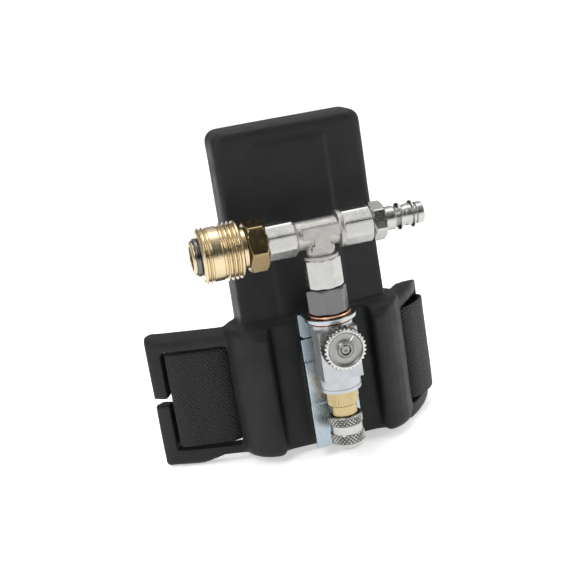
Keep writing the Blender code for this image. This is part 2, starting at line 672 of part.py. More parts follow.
def make_coupler_inside():
    """Spring for the sleeve, locking balls, seal, valve poppet and its spring."""
    steel = material("spring_steel", (0.45, 0.45, 0.46), 0.3, 1.0)
    finish(spring("coupler_sleeve_spring", (-46.2, AXIS_Y, 0), (1, 0, 0), 6.6, 8.75, 0.8, 3.0, 12), steel)
    finish(spring("coupler_poppet_spring", (-41.9, AXIS_Y, 0), (1, 0, 0), 10.1, 3.9, 0.7, 4.0, 9), steel)
    for k in range(4):
        angle = math.pi / 2 * k + math.pi / 4
        spoke = Vector((0, math.cos(angle), math.sin(angle)))
        centre = Vector((BALL_X, AXIS_Y, 0)) + spoke * 6.7
        finish(ball(f"coupler_ball_{k + 1}", centre, 1.15), steel, 60)
    seal = lathe("coupler_seal", [(0, 4.7), (0, 6.0), (1.6, 6.0), (1.6, 4.7)], (-47.6, AXIS_Y, 0),
                 (1, 0, 0), 16)
    finish(seal, material("rubber", (0.02, 0.02, 0.02), 0.7))
    profile = [(0, 2.2), (0.8, 3.4), (1.6, 5.0), (3.4, 5.0), (3.4, 2.0), (5.0, 1.8)]
    poppet = lathe("coupler_poppet", profile, (-45.6, AXIS_Y, 0), (1, 0, 0), 16, hollow=False)
    finish(poppet, material("brass", (0.80, 0.62, 0.30), 0.22, 1.0))
    pivot("coupler_poppet_slide", [poppet], (-45.6, AXIS_Y, 0))


def make_plug_nipple():
    left = TEE_RIGHT + GAP
    plug = flats_prism("plug_nipple", 16.4, 6, left, left + 6.4, (0, AXIS_Y, 0), "X", 18.0, 0.9)
    start = left + 6.4
    profile = [
        (-0.5, 5.6), (5.0, 5.6), (5.6, 5.1), (7.0, 4.7), (7.4, 6.4), (8.3, 6.4), (8.7, 4.9), (10.2, 4.9),
        (11.4, 5.2), (13.4, 5.2), (13.8, 6.4), (14.6, 6.4), (15.0, 4.3), (15.8, 4.3), (16.2, 5.1),
        (19.0, 5.1), (19.5, 4.6),
    ]
    join(plug, lathe("spigot", [(x + 0.5, r) for x, r in profile], (start - 0.5, AXIS_Y, 0), (1, 0, 0),
                     20, hollow=False))
    join(plug, shank("shank", (left + 1, AXIS_Y, 0), (-1, 0, 0), 10.5))
    cut(plug, rod("flow", (5, AXIS_Y, 0), (60, AXIS_Y, 0), 3.0, 16))
    return finish(plug, material("nickel_satin", (0.66, 0.64, 0.60), 0.26, 1.0))


# ---------------------------------------------------------------- valve


def make_hex_nipple():
    high = TEE_FOOT - GAP
    nipple = flats_prism("hex_nipple", NIPPLE_FLATS, 6, NIPPLE_FOOT, high, (0, AXIS_Y, 0), "Z", 4.0, 0.9)
    join(nipple, shank("shank_up", (0, AXIS_Y, high - 1), (0, 0, 1), 10.5))
    down = lathe("shank_down", [(0, 5.8), (9.3, 5.8), (9.8, 5.2)],
                 (0, AXIS_Y, NIPPLE_FOOT + 1), (0, 0, -1), 28, hollow=False)
    join(nipple, down)
    cut(nipple, rod("flow", (0, AXIS_Y, 0), (0, AXIS_Y, -60), 3.2, 24))
    return finish(nipple, material("dark_steel", (0.20, 0.20, 0.21), 0.3, 1.0))


def make_washer(name, top):
    thick = WASHER_THICKNESS
    profile = [(0, 6.3), (0, WASHER_RADIUS), (thick, WASHER_RADIUS), (thick, 6.3)]
    washer = lathe(name, profile, (0, AXIS_Y, top), (0, 0, -1), 24)
    return finish(washer, material("copper", (0.72, 0.40, 0.26), 0.3, 1.0))


def make_valve_body():
    """Round body with a flat front block. Air comes in on top, passes a rear port and the needle's seat,
    and leaves below."""
    height = VALVE_TOP - VALVE_BOTTOM
    body = lathe("valve_body", [(0, VALVE_RADIUS - 0.4), (0.4, VALVE_RADIUS), (height - 0.5, VALVE_RADIUS),
                                (height, VALVE_RADIUS - 0.5)],
                 (0, AXIS_Y, VALVE_TOP), (0, 0, -1), 28, hollow=False)
    front = [(-9.6, VALVE_TOP - 2.2), (-9.6, -69.6), (8.2, -69.6), (9.6, -67.8), (9.6, VALVE_TOP - 2.2)]
    join(body, prism("block", front, VALVE_FACE, AXIS_Y - 2.0, axis="Y"))
    cut(body, rod("inlet", (0, AXIS_Y, VALVE_TOP + 2), (0, AXIS_Y, -47.6), 6.2, 28))
    cut(body, rod("rear_port", (0, SEAT_Y + 3.2, -46), (0, SEAT_Y + 3.2, KNOB_Z - 1.2), 1.6, 14))
    cut(body, rod("seat", (0, SEAT_Y - 1, KNOB_Z), (0, SEAT_Y + 3.2, KNOB_Z), SEAT_RADIUS, 16))
    cut(body, rod("chamber", (0, VALVE_FACE - 2, KNOB_Z), (0, SEAT_Y, KNOB_Z), 3.2, 20))
    cut(body, rod("gland_bore", (0, VALVE_FACE - 2, KNOB_Z), (0, VALVE_FACE + 2.6, KNOB_Z), 4.4, 24))
    cut(body, rod("passage", (0, -57.5, KNOB_Z), (0, -57.5, -66), 1.8, 14))
    cut(body, rod("outlet", (0, AXIS_Y, -65), (0, AXIS_Y, VALVE_BOTTOM - 2), 5.0, 28))
    return finish(body, material("anodised", (0.60, 0.62, 0.64), 0.42, 0.9))


def make_gland():
    at = (0, VALVE_FACE - 2.3, KNOB_Z)
    nut = lathe("valve_gland_nut", [(0, 4.6), (0.4, 5.0), (2.0, 5.0), (2.0, 4.1), (3.5, 4.1), (3.5, 2.8),
                                    (0, 2.8)], at, (0, 1, 0), 20)
    finish(nut, material("nickel_satin", (0.66, 0.64, 0.60), 0.26, 1.0))
    ring = lathe("valve_spindle_seal", [(0, 2.7), (0, 4.0), (1.0, 4.0), (1.0, 2.7)],
                 (0, VALVE_FACE + 1.4, KNOB_Z), (0, 1, 0), 16)
    finish(ring, material("rubber", (0.02, 0.02, 0.02), 0.7))


def make_spindle():
    """Screwed spindle whose cone closes the seat; it rises towards -Y as the knob is turned open."""
    back = KNOB_FRONT + 2.6
    cone = SEAT_Y - 3.0 - back
    profile = [(0, SPINDLE_RADIUS), (cone, SPINDLE_RADIUS), (cone + 2.4, SEAT_RADIUS - 0.15),
               (cone + 4.4, 0.7)]
    spindle = lathe("valve_spindle", profile, (0, back, KNOB_Z), (0, 1, 0), 20, hollow=False)
    cut(spindle, rod("screw_thread", (0, back - 1, KNOB_Z), (0, back + 5.5, KNOB_Z), 1.4, 14))
    finish(spindle, material("dark_steel", (0.20, 0.20, 0.21), 0.3, 1.0))
    pivot("spindle_slide", [spindle], (0, back, KNOB_Z))


def toothed_outline(crest, root, teeth):
    points = []
    for i in range(2 * teeth):
        radius = crest if i % 2 == 0 else root
        angle = math.pi * i / teeth
        points.append((radius * math.cos(angle), radius * math.sin(angle)))
    return points


def make_knob():
    """Toothed knob with a dished face, a small boss and a radial index line."""
    outline = toothed_outline(KNOB_RADIUS, KNOB_RADIUS - 1.0, KNOB_TEETH)
    rings = []
    levels = ((KNOB_BACK, 0.95), (KNOB_BACK - 0.6, 1.0), (KNOB_FRONT + 0.9, 1.0), (KNOB_FRONT, 0.915))
    for level, scale in levels:
        rings.append([(a * scale, level, KNOB_Z + b * scale) for a, b in outline])
    knob = ring_solid("valve_knob", rings)
    dish = lathe("dish", [(-1, 8.2), (0.5, 8.2), (1.1, 7.7), (1.1, 3.9), (0.3, 3.4), (-1, 3.4)],
                 (0, KNOB_FRONT, KNOB_Z), (0, 1, 0), 28)
    cut(knob, dish)
    cut(knob, rod("spindle_bore", (0, KNOB_FRONT + 2.3, KNOB_Z), (0, KNOB_BACK + 1, KNOB_Z),
                  SPINDLE_RADIUS + GAP, 20))
    cut(knob, rod("screw_bore", (0, KNOB_FRONT - 1, KNOB_Z), (0, KNOB_BACK, KNOB_Z), 1.4, 14))
    cut(knob, rod("screw_head_bore", (0, KNOB_FRONT - 1, KNOB_Z), (0, KNOB_FRONT + 1.5, KNOB_Z), 2.5, 20))
    line = box("index_line", (4.3, KNOB_FRONT + 0.8, -0.25), (7.6, KNOB_FRONT + 1.35, 0.25))
    turn = Matrix.Translation((0, 0, KNOB_Z)) @ Matrix.Rotation(math.radians(-INDEX_ANGLE), 4, "Y")
    cut(knob, place(line, turn))
    finish(knob, material("nickel_satin", (0.66, 0.64, 0.60), 0.26, 1.0), 25)
    screw = lathe("knob_screw", [(0, 1.7), (0.4, 2.2), (1.2, 2.2), (1.2, 1.1), (5.6, 1.1)],
                  (0, KNOB_FRONT + 0.1, KNOB_Z), (0, 1, 0), 20, hollow=False)
    socket = flats_prism("hex_socket", 1.5, 6, 0, 0.9, (0, 0, 0), "Z", 0, 0.0)
    turn = Matrix.Translation((0, KNOB_FRONT - 0.1, KNOB_Z)) @ Matrix.Rotation(-math.pi / 2, 4, "X")
    cut(screw, place(socket, turn))
    finish(screw, material("nickel_satin", (0.66, 0.64, 0.60), 0.26, 1.0))
    pivot("knob_turn_axis", [knob, screw], (0, KNOB_FRONT, KNOB_Z))


# ---------------------------------------------------------------- lower coupling


def make_outlet_adapter():
    """Brass body of the small coupling: straight-knurled collar, neck and the tube under the sleeve."""
    outline = toothed_outline(7.4, 7.05, 28)
    top, foot = VALVE_BOTTOM - GAP, -84.5
    rings = []
    for level, scale in ((top, 0.94), (top - 0.4, 1.0), (foot + 0.4, 1.0), (foot, 0.94)):
        rings.append([(a * scale, AXIS_Y + b * scale, level) for a, b in outline])
    body = ring_solid("outlet_adapter", rings)
    tube = [(-84.0, 6.4), (-89.4, 6.4), (-89.8, 5.2), (-105.0, 5.2), (-105.6, 4.8)]
    join(body, lathe("tube", [(-84.0 - z, r) for z, r in tube], (0, AXIS_Y, -84.0), (0, 0, -1), 24,
                     hollow=False))
    join(body, rod("thread", (0, AXIS_Y, top - 1), (0, AXIS_Y, -68.0), 4.7, 20))
    cut(body, rod("flow", (0, AXIS_Y, -60), (0, AXIS_Y, -110), 2.4, 20))
    cut(body, rod("valve_bore", (0, AXIS_Y, -92.0), (0, AXIS_Y, -110), 3.9, 24))
    for k in range(3):
        angle = 2 * math.pi * k / 3 + 0.4
        spoke = Vector((math.cos(angle), math.sin(angle), 0))
        middle = Vector((0, AXIS_Y, LOWER_BALL_Z))
        cut(body, rod("ball_hole", middle + spoke * 2.5, middle + spoke * 7, 0.95, 8))
    return finish(body, material("brass_brushed", (0.74, 0.56, 0.27), 0.32, 1.0), 25)


def make_lower_sleeve():
    """Knurled sleeve that is pushed up to free the hose plug."""
    outer = [(-89.7, 7.6), (-90.2, 8.3), (-94.4, 8.3), (-94.7, 7.8), (-98.3, 7.8), (-98.6, 8.3),
             (-103.4, 8.3), (-105.4, 7.6), (-106.6, 6.5)]
    inner = [(-106.6, 6.0), (-105.2, 5.6), (-104.9, 6.4), (-102.5, 6.4), (-102.2, 5.6), (-97.5, 5.6),
             (-97.5, 7.0), (-89.7, 7.0)]
    profile = [(-89.7 - z, r) for z, r in outer + inner]
    sleeve = lathe("lower_sleeve", profile, (0, AXIS_Y, -89.7), (0, 0, -1), 24)
    finish(sleeve, material("nickel_bright", (0.70, 0.68, 0.65), 0.2, 1.0))
    pivot("lower_sleeve_slide", [sleeve], (0, AXIS_Y, -89.7))


def make_lower_inside():
    steel = material("spring_steel", (0.45, 0.45, 0.46), 0.3, 1.0)
    finish(spring("lower_sleeve_spring", (0, AXIS_Y, -90.1), (0, 0, -1), 7.1, 6.1, 0.7, 3.0, 12), steel)
    poppet = lathe("lower_poppet", [(0, 1.6), (0.8, 2.4), (1.4, 3.5), (2.8, 3.5), (2.8, 1.4), (4.0, 1.3)],
                   (0, AXIS_Y, -100.0), (0, 0, 1), 16, hollow=False)
    finish(poppet, material("brass", (0.80, 0.62, 0.30), 0.22, 1.0))
    pivot("lower_poppet_slide", [poppet], (0, AXIS_Y, -100.0))
    finish(spring("lower_poppet_spring", (0, AXIS_Y, -96.9), (0, 0, 1), 4.6, 2.7, 0.5, 3.0, 9), steel)
    for k in range(3):
        angle = 2 * math.pi * k / 3 + 0.4
        centre = Vector((0, AXIS_Y, LOWER_BALL_Z)) + Vector((math.cos(angle), math.sin(angle), 0)) * 4.72
        finish(ball(f"lower_ball_{k + 1}", centre, 0.75), steel, 60)


# ---------------------------------------------------------------- belt


def smooth_route(points, step=4.0):
    """A curve through hand-chosen plan points, sampled at even steps."""
    dense = []
    for i in range(len(points) - 1):
        p0 = Vector(points[max(i - 1, 0)])
        p1, p2 = Vector(points[i]), Vector(points[i + 1])
        p3 = Vector(points[min(i + 2, len(points) - 1)])
        for k in range(20):
            t = k / 20
            dense.append(0.5 * (2 * p1 + (p2 - p0) * t + (2 * p0 - 5 * p1 + 4 * p2 - p3) * t ** 2
                                + (3 * p1 - p0 - 3 * p2 + p3) * t ** 3))
    dense.append(Vector(points[-1]))
    route, travelled, due = [dense[0]], 0.0, step
    for before, here in zip(dense, dense[1:]):
        travelled += (here - before).length
        if travelled >= due:
            route.append(here)
            due += step
    if (route[-1] - dense[-1]).length > step / 2:
        route.append(dense[-1])
    else:
        route[-1] = dense[-1]
    return route


def strap(name, points, sag):
    """Flat webbing standing on edge along a plan route; sag gives (distance, drop) knots along it."""
    route = smooth_route(points)
    drops, travelled = [], 0.0
    for before, here in zip([route[0]] + route, route):
        travelled += (here - before).length
        drops.append(interpolate(sag, travelled))
    low, high = BELT_Z - WEBBING_WIDTH / 2, BELT_Z + WEBBING_WIDTH / 2
    left, right = [], []
    for i, here in enumerate(route):
        along = (route[min(i + 1, len(route) - 1)] - route[max(i - 1, 0)]).normalized()
        across = Vector((-along.y, along.x)) * WEBBING_THICKNESS / 2
        left.append((here.x + across.x, here.y + across.y))
        right.append((here.x - across.x, here.y - across.y))
    rings = []
    for a, b, drop in zip(left, right, drops):
        rings.append([(*a, low - drop), (*b, low - drop), (*b, high - drop), (*a, high - drop)])
    return ring_solid(name, rings)


def make_belt():
    look = material("webbing_black", (0.015, 0.015, 0.016), 0.85)
    finish(strap("belt_webbing", BELT_ROUTE, ((0, BELT_SAG), (21, BELT_SAG), (38, 0), (400, 0))), look, 40)
    finish(strap("belt_slack_run", SLACK_ROUTE, ((0, 0), (38, BELT_SAG), (90, BELT_SAG))), look, 40)
    middle = BELT_Z - BELT_SAG
    low, high = middle - WEBBING_WIDTH / 2, middle + WEBBING_WIDTH / 2
    cx, cy = ROLL_CENTRE
    radius = ROLL_THICKNESS / 2
    reach = ROLL_LENGTH / 2 - radius
    outline = arc((cx + reach, cy), radius, -90, 90, 10) + arc((cx - reach, cy), radius, 90, 270, 10)
    roll = finish(prism("belt_tail_roll", outline, low, high), look, 40)
    band_out = arc((cx + reach, cy), radius + 1.3, -90, 90, 10)
    band_out += arc((cx - reach, cy), radius + 1.3, 90, 270, 10)
    band = prism("belt_keeper_band", band_out, middle - 8.0, middle + 8.0)
    band_in = arc((cx + reach, cy), radius + GAP, -90, 90, 10)
    band_in += arc((cx - reach, cy), radius + GAP, 90, 270, 10)
    cut(band, prism("band_hole", band_in, middle - 10, middle + 10))
    finish(band, material("elastic", (0.03, 0.03, 0.032), 0.8), 40)
    return [roll, band]


def make_buckle(carried):
    """Side-release buckle: the hook half slides out of the socket half along -X, with what it carries."""
    plastic = material("buckle_black", (0.02, 0.02, 0.022), 0.4)
    x, middle, height = BUCKLE_X, BELT_BACK_Y, BELT_Z - BELT_SAG
    y0, y1 = middle - BUCKLE_THICKNESS / 2, middle + BUCKLE_THICKNESS / 2
    z0, z1 = height - BUCKLE_HEIGHT / 2, height + BUCKLE_HEIGHT / 2
    slot_low, slot_high = height - WEBBING_WIDTH / 2 - 0.8, height + WEBBING_WIDTH / 2 + 0.8
    outline = [(x - 4, z0 + 3), (x, z0), (x + 38, z0), (x + 43, z0 + 3)]
    outline += [(a, 2 * height - b) for a, b in reversed(outline)]
    socket = prism("buckle_socket", outline, y0, y1, axis="Y")
    cut(socket, box("cavity", (x - 6, y0 + 1.8, z0 + 2.0), (x + 31, y1 - 1.8, z1 - 2.0)))
    for low, high in ((z0 - 2, z0 + 8), (z1 - 8, z1 + 2)):
        cut(socket, box("side_window", (x + 14, y0 - 2, low), (x + 28, y1 + 2, high)))
    cut(socket, box("strap_slot", (x + 35.2, y0 - 2, slot_low), (x + 39.0, y1 + 2, slot_high)))
    cut(socket, box("relief_in", (x + 36.0, y0 - 2, slot_low), (x + 46.0, middle - BUCKLE_BAR, slot_high)))
    cut(socket, box("relief_out", (x + 36.0, middle + BUCKLE_BAR, slot_low), (x + 46.0, y1 + 2, slot_high)))
    finish(socket, plastic)
    hook = box("buckle_hook", (x - 36, y0 + 0.5, z0 + 0.5), (x - 4.4, y1 - 0.5, z1 - 0.5))
    for slot in (-33.0, -24.5):
        cut(hook, box("bar_slot", (x + slot, y0 - 2, slot_low), (x + slot + 4.5, y1 + 2, slot_high)))
    cut(hook, box("strap_pocket", (x - 38, middle - 1.1, slot_low), (x - 31, middle + 1.1, slot_high)))
    low, high = y0 + 2.6, y1 - 2.6
    for side in (-1, 1):
        zs = sorted(height + side * (BUCKLE_HEIGHT / 2 - inset) for inset in (2.6, 8.0))
        join(hook, box("arm", (x - 8, low, zs[0]), (x + 24, high, zs[1])))
    join(hook, box("tongue", (x - 8, low, height - 4), (x + 27, high, height + 4)))
    finish(hook, plastic)
    pivot("buckle_slide", [hook] + carried, (x, middle, height))


def main():
    clear_scene()
    make_pad()
    make_backing_plate()
    make_flange_bracket()
    make_clip_plate()
    for number, z in enumerate(RIVET_HEIGHTS, 1):
        make_rivet(f"bracket_rivet_{number}", z)
    for label, z in zip(("upper", "lower"), SCREW_HEIGHTS):
        make_clip_screw(f"clip_screw_{label}", z)
    make_tee()
    make_coupler_rear_body()
    make_coupler_front_body()
    make_coupler_nose_ring()
    make_coupler_sleeve()
    make_coupler_inside()
    make_plug_nipple()
    make_hex_nipple()
    make_washer("copper_washer_upper", NIPPLE_FOOT - GAP)
    make_washer("copper_washer_lower", FLANGE_TOP - SHEET - GAP)
    make_valve_body()
    make_gland()
    make_spindle()
    make_knob()
    make_outlet_adapter()
    make_lower_sleeve()
    make_lower_inside()
    make_buckle(make_belt())


main()
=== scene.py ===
import math

import bmesh
import bpy
from mathutils import Matrix, Vector, noise


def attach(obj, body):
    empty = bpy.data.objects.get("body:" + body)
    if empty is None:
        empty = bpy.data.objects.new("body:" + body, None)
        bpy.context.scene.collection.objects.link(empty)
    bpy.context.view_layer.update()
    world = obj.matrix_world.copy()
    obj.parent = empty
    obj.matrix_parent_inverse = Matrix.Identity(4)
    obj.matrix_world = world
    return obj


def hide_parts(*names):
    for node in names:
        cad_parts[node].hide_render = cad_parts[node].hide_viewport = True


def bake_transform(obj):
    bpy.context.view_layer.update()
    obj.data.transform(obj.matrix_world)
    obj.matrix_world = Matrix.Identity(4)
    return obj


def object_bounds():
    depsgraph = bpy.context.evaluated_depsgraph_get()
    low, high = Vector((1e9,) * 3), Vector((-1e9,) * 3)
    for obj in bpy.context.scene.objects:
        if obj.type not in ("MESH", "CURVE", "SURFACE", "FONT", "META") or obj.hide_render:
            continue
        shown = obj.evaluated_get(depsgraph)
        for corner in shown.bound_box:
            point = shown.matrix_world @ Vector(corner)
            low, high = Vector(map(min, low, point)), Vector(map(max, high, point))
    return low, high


# Looks of the belt-worn air regulator. The shapes are in millimetres and are turned into metres by MM. The
# camera, the lights and the materials are in metres.
MM = 0.001
AXIS_Y = -55.0               # plane of the axes of the tee, coupler, plug and valve
KNOB_Z = -51.9               # height of the knob's axis
KNOB_FRONT = -75.5
KNOB_BACK = -67.6
VALVE_FACE = -64.8           # flat on the valve body that the knob's spindle comes out of
INDEX_ANGLE = 50.0           # where the knob's painted line points, in degrees
BELT_Z = -82.8               # middle height of the webbing at the pad
WEBBING_WIDTH = 50.0
WEBBING_THICKNESS = 1.5
BELT_SAG = 4.5               # how much lower the belt runs at its buckle
KNURL_COUNT = 26             # grooves each way round the knurled sleeve
KNURL_LEAD = 0.119           # turn of the knurl, radians per millimetre
KNURL_BANDS = ((-94.2, -90.3), (-103.2, -98.8))
UV_AROUND = 10.0             # UV units in one turn round a turned shape
ROUND_STEPS = 96             # points round a plain turned shape

SENSOR = 36.0                # camera's sensor and lens, in the usual millimetres
LENS = 71.4
CAMERA_PLACE = (-0.1210, -0.5572, 0.1144)
CAMERA_AIM = (-0.0136, -0.0340, -0.0287)
CAMERA_ROLL = -9.1           # degrees
FLOOR_HALF = 6.0
FLOOR_GAP = 0.0004
LIGHT_AIM = (-0.01, -0.04, -0.03)
LIGHTS = (                   # name, place, size, power
    ("key", (-0.60, -0.70, 0.75), (0.55, 0.55), 6.0),
    ("fill", (0.85, -0.45, 0.25), (0.35, 0.9), 3.0),
    ("top", (0.05, 0.10, 1.0), (0.9, 0.5), 3.5),
)
WHITE = (1.0, 1.0, 1.0, 1.0)

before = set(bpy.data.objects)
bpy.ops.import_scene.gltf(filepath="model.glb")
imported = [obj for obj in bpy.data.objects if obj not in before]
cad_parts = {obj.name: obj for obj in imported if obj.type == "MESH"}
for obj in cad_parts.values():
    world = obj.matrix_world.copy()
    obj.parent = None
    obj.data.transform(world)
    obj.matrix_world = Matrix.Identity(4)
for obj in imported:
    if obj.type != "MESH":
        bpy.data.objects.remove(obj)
cad_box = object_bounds()


# ---------------------------------------------------------------- camera, floor and light


def linked(name, data):
    made = bpy.data.objects.new(name, data)
    bpy.context.collection.objects.link(made)
    return made


def looking(place, aim):
    """The matrix of a camera or light that stands at one place and looks at another."""
    place, aim = Vector(place), Vector(aim)
    turn = (aim - place).to_track_quat("-Z", "Y").to_matrix().to_4x4()
    return Matrix.Translation(place) @ turn


def make_camera():
    data = bpy.data.cameras.new("camera")
    data.lens = LENS
    data.sensor_width = SENSOR
    data.dof.use_dof = False
    camera = linked("camera", data)
    roll = Matrix.Rotation(math.radians(CAMERA_ROLL), 4, "Z")
    camera.matrix_world = looking(CAMERA_PLACE, CAMERA_AIM) @ roll
    bpy.context.scene.camera = camera


def make_floor():
    """A pale floor just under the object, with a faint glow that keeps it white into the distance."""
    level = cad_box[0][2] - FLOOR_GAP
    mesh = bpy.data.meshes.new("floor")
    corners = [(x * FLOOR_HALF, y * FLOOR_HALF, level) for x, y in ((-1, -1), (1, -1), (1, 1), (-1, 1))]
    mesh.from_pydata(corners, [], [(0, 1, 2, 3)])
    floor = linked("floor", mesh)
    pale, shader = new_material("floor_paper", (0.95, 0.95, 0.947), 0.85)
    grain = texture(pale, coordinates(pale, "Object"), scale=900.0, detail=3.0)
    bump(pale, shader, grain, strength=0.02, distance=0.0002)
    shader.inputs["Emission Color"].default_value = WHITE
    shader.inputs["Emission Strength"].default_value = 0.52
    mesh.materials.append(pale)


def make_lights():
    for name, place, size, power in LIGHTS:
        data = bpy.data.lights.new(name, "AREA")
        data.shape = "RECTANGLE"
        data.size, data.size_y = size
        data.energy = power
        linked(name, data).matrix_world = looking(place, LIGHT_AIM)


def make_world():
    """Soft light that falls off downwards and towards the front, and a plain white backdrop that only the
    camera sees."""
    world = bpy.data.worlds.new("surroundings")
    world.use_nodes = True
    nodes, links = world.node_tree.nodes, world.node_tree.links
    room = nodes["Background"]
    direction = components(world, "Generated")
    height = ramp(world, direction["Z"], 0.22, 0.85, at=(0.10, 0.75))
    away = math_node(world, "MULTIPLY_ADD", direction["Y"], 0.5, 0.5)
    depth = ramp(world, away, 0.10, 1.0, at=(0.08, 0.45))
    links.new(math_node(world, "MULTIPLY", height, depth), room.inputs["Color"])
    room.inputs["Strength"].default_value = 1.0
    backdrop = nodes.new("ShaderNodeBackground")
    backdrop.inputs["Color"].default_value = WHITE
    backdrop.inputs["Strength"].default_value = 1.05
    seen = nodes.new("ShaderNodeMixShader")
    links.new(nodes.new("ShaderNodeLightPath").outputs["Is Camera Ray"], seen.inputs["Fac"])
    links.new(room.outputs["Background"], seen.inputs[1])
    links.new(backdrop.outputs["Background"], seen.inputs[2])
    links.new(seen.outputs["Shader"], nodes["World Output"].inputs["Surface"])
    bpy.context.scene.world = world
    bpy.context.scene.view_settings.view_transform = "Standard"


# ---------------------------------------------------------------- materials


def new_material(name, colour, roughness, metallic=0.0, **sockets):
    made = bpy.data.materials.new(name)
    made.use_nodes = True
    shader = made.node_tree.nodes["Principled BSDF"]
    shader.inputs["Base Color"].default_value = (*colour, 1.0)
    shader.inputs["Roughness"].default_value = roughness
    shader.inputs["Metallic"].default_value = metallic
    for socket, value in sockets.items():
        shader.inputs[socket.replace("_", " ")].default_value = value
    return made, shader


def coordinates(made, kind, scale=(1, 1, 1)):
    """Object or UV coordinates, scaled per axis."""
    nodes, links = made.node_tree.nodes, made.node_tree.links
    source = nodes.new("ShaderNodeTexCoord")
    mapping = nodes.new("ShaderNodeMapping")
    mapping.inputs["Scale"].default_value = scale
    links.new(source.outputs[kind], mapping.inputs["Vector"])
    return mapping.outputs["Vector"]


def components(made, kind):
    """The X, Y and Z of a texture coordinate."""
    nodes, links = made.node_tree.nodes, made.node_tree.links
    split = nodes.new("ShaderNodeSeparateXYZ")
    links.new(nodes.new("ShaderNodeTexCoord").outputs[kind], split.inputs["Vector"])
    return split.outputs


def texture(made, vector, scale, detail=4.0, roughness=0.55):
    nodes, links = made.node_tree.nodes, made.node_tree.links
    cloud = nodes.new("ShaderNodeTexNoise")
    cloud.inputs["Scale"].default_value = scale
    cloud.inputs["Detail"].default_value = detail
    cloud.inputs["Roughness"].default_value = roughness
    links.new(vector, cloud.inputs["Vector"])
    return cloud.outputs["Fac"]


def ramp(made, factor, low, high, at=(0.3, 0.7)):
    """Blends between two greys or colours along a factor."""
    nodes, links = made.node_tree.nodes, made.node_tree.links
    bar = nodes.new("ShaderNodeValToRGB")
    for element, position, value in zip(bar.color_ramp.elements, at, (low, high)):
        element.position = position
        element.color = (*value, 1.0) if hasattr(value, "__len__") else (value, value, value, 1.0)
    links.new(factor, bar.inputs["Fac"])
    return bar.outputs["Color"]


def math_node(made, operation, *values):
    nodes, links = made.node_tree.nodes, made.node_tree.links
    made_node = nodes.new("ShaderNodeMath")
    made_node.operation = operation
    for socket, value in zip(made_node.inputs, values):
        if isinstance(value, (int, float)):
            socket.default_value = value
        else:
            links.new(value, socket)
    return made_node.outputs["Value"]


def bump(made, shader, height, strength, distance):
    """Adds a layer of bump under any that the shader already has."""
    nodes, links = made.node_tree.nodes, made.node_tree.links
    node = nodes.new("ShaderNodeBump")
    node.inputs["Strength"].default_value = strength
    node.inputs["Distance"].default_value = distance
    links.new(height, node.inputs["Height"])
    if shader.inputs["Normal"].is_linked:
        links.new(shader.inputs["Normal"].links[0].from_socket, node.inputs["Normal"])
    links.new(node.outputs["Normal"], shader.inputs["Normal"])


def drive(made, shader, socket, factor, low, high, at=(0.3, 0.7)):
    """Makes one of a shader's inputs run between two values along a factor."""
    made.node_tree.links.new(ramp(made, factor, low, high, at), shader.inputs[socket])


def shade(colour, amount):
    return [channel * amount for channel in colour]


def moulded(name, colour, rough, grain, depth, level):
    """Matt moulded rubbery plastic with a fine pore, faint cloudiness and polished patches."""
    made, shader = new_material(name, colour, sum(rough) / 2, Specular_IOR_Level=level)
    where = coordinates(made, "Object")
    cloud = texture(made, where, scale=60.0)
    drive(made, shader, "Base Color", cloud, shade(colour, 0.75), shade(colour, 1.35))
    drive(made, shader, "Roughness", texture(made, where, scale=140.0, detail=5.0), *rough)
    pores = texture(made, where, scale=grain, detail=3.0, roughness=0.6)
    bump(made, shader, pores, strength=0.35, distance=depth)
    bump(made, shader, texture(made, where, scale=90.0, detail=2.0), strength=0.25, distance=0.0006)
    return made


def machined(name, colour, rough, lines, tint):
    """Turned metal: fine tool lines around the axis, uneven polish and a slight change of colour."""
    made, shader = new_material(name, colour, rough, 1.0)
    fine = texture(made, coordinates(made, "UV", (2.0, 2.2, 1.0)), scale=3.0, detail=6.0, roughness=0.75)
    patches = texture(made, coordinates(made, "Object"), scale=250.0)
    drive(made, shader, "Base Color", patches, shade(colour, 1 - tint), shade(colour, 1 + tint))
    most, rest = math_node(made, "MULTIPLY", fine, 0.6), math_node(made, "MULTIPLY", patches, 0.4)
    polish = math_node(made, "ADD", most, rest)
    drive(made, shader, "Roughness", polish, rough * 0.7, rough * 1.45, at=(0.35, 0.65))
    bump(made, shader, fine, strength=lines, distance=0.00012)
    return made


def cast(name, colour, rough):
    """Sand-cast and plated metal."""
    made, shader = new_material(name, colour, rough, 1.0)
    where = coordinates(made, "Object")
    sand = texture(made, where, scale=1500.0, detail=3.0, roughness=0.6)
    patches = texture(made, where, scale=220.0, detail=3.0)
    drive(made, shader, "Base Color", patches, shade(colour, 0.86), shade(colour, 1.08))
    drive(made, shader, "Roughness", sand, rough * 0.8, rough * 1.3)
    bump(made, shader, sand, strength=0.8, distance=0.0003)
    bump(made, shader, patches, strength=0.3, distance=0.0003)
    return made


def plated_sheet(name, colour, rough):
    """Zinc-plated sheet: cloudy blue and straw tints over rolling lines."""
    made, shader = new_material(name, colour, rough, 1.0)
    cloud = texture(made, coordinates(made, "Object"), scale=70.0, detail=3.0)
    bluish = [channel * amount for channel, amount in zip(colour, (0.93, 0.98, 1.03))]
    straw = [channel * amount for channel, amount in zip(colour, (1.03, 1.01, 0.95))]
    drive(made, shader, "Base Color", cloud, bluish, straw, at=(0.38, 0.66))
    rolled = texture(made, coordinates(made, "Object", (30, 30, 3)), scale=60.0, detail=5.0)
    drive(made, shader, "Roughness", rolled, rough * 0.75, rough * 1.35)
    bump(made, shader, rolled, strength=0.12, distance=0.0001)
    bump(made, shader, cloud, strength=0.2, distance=0.0006)
    return made


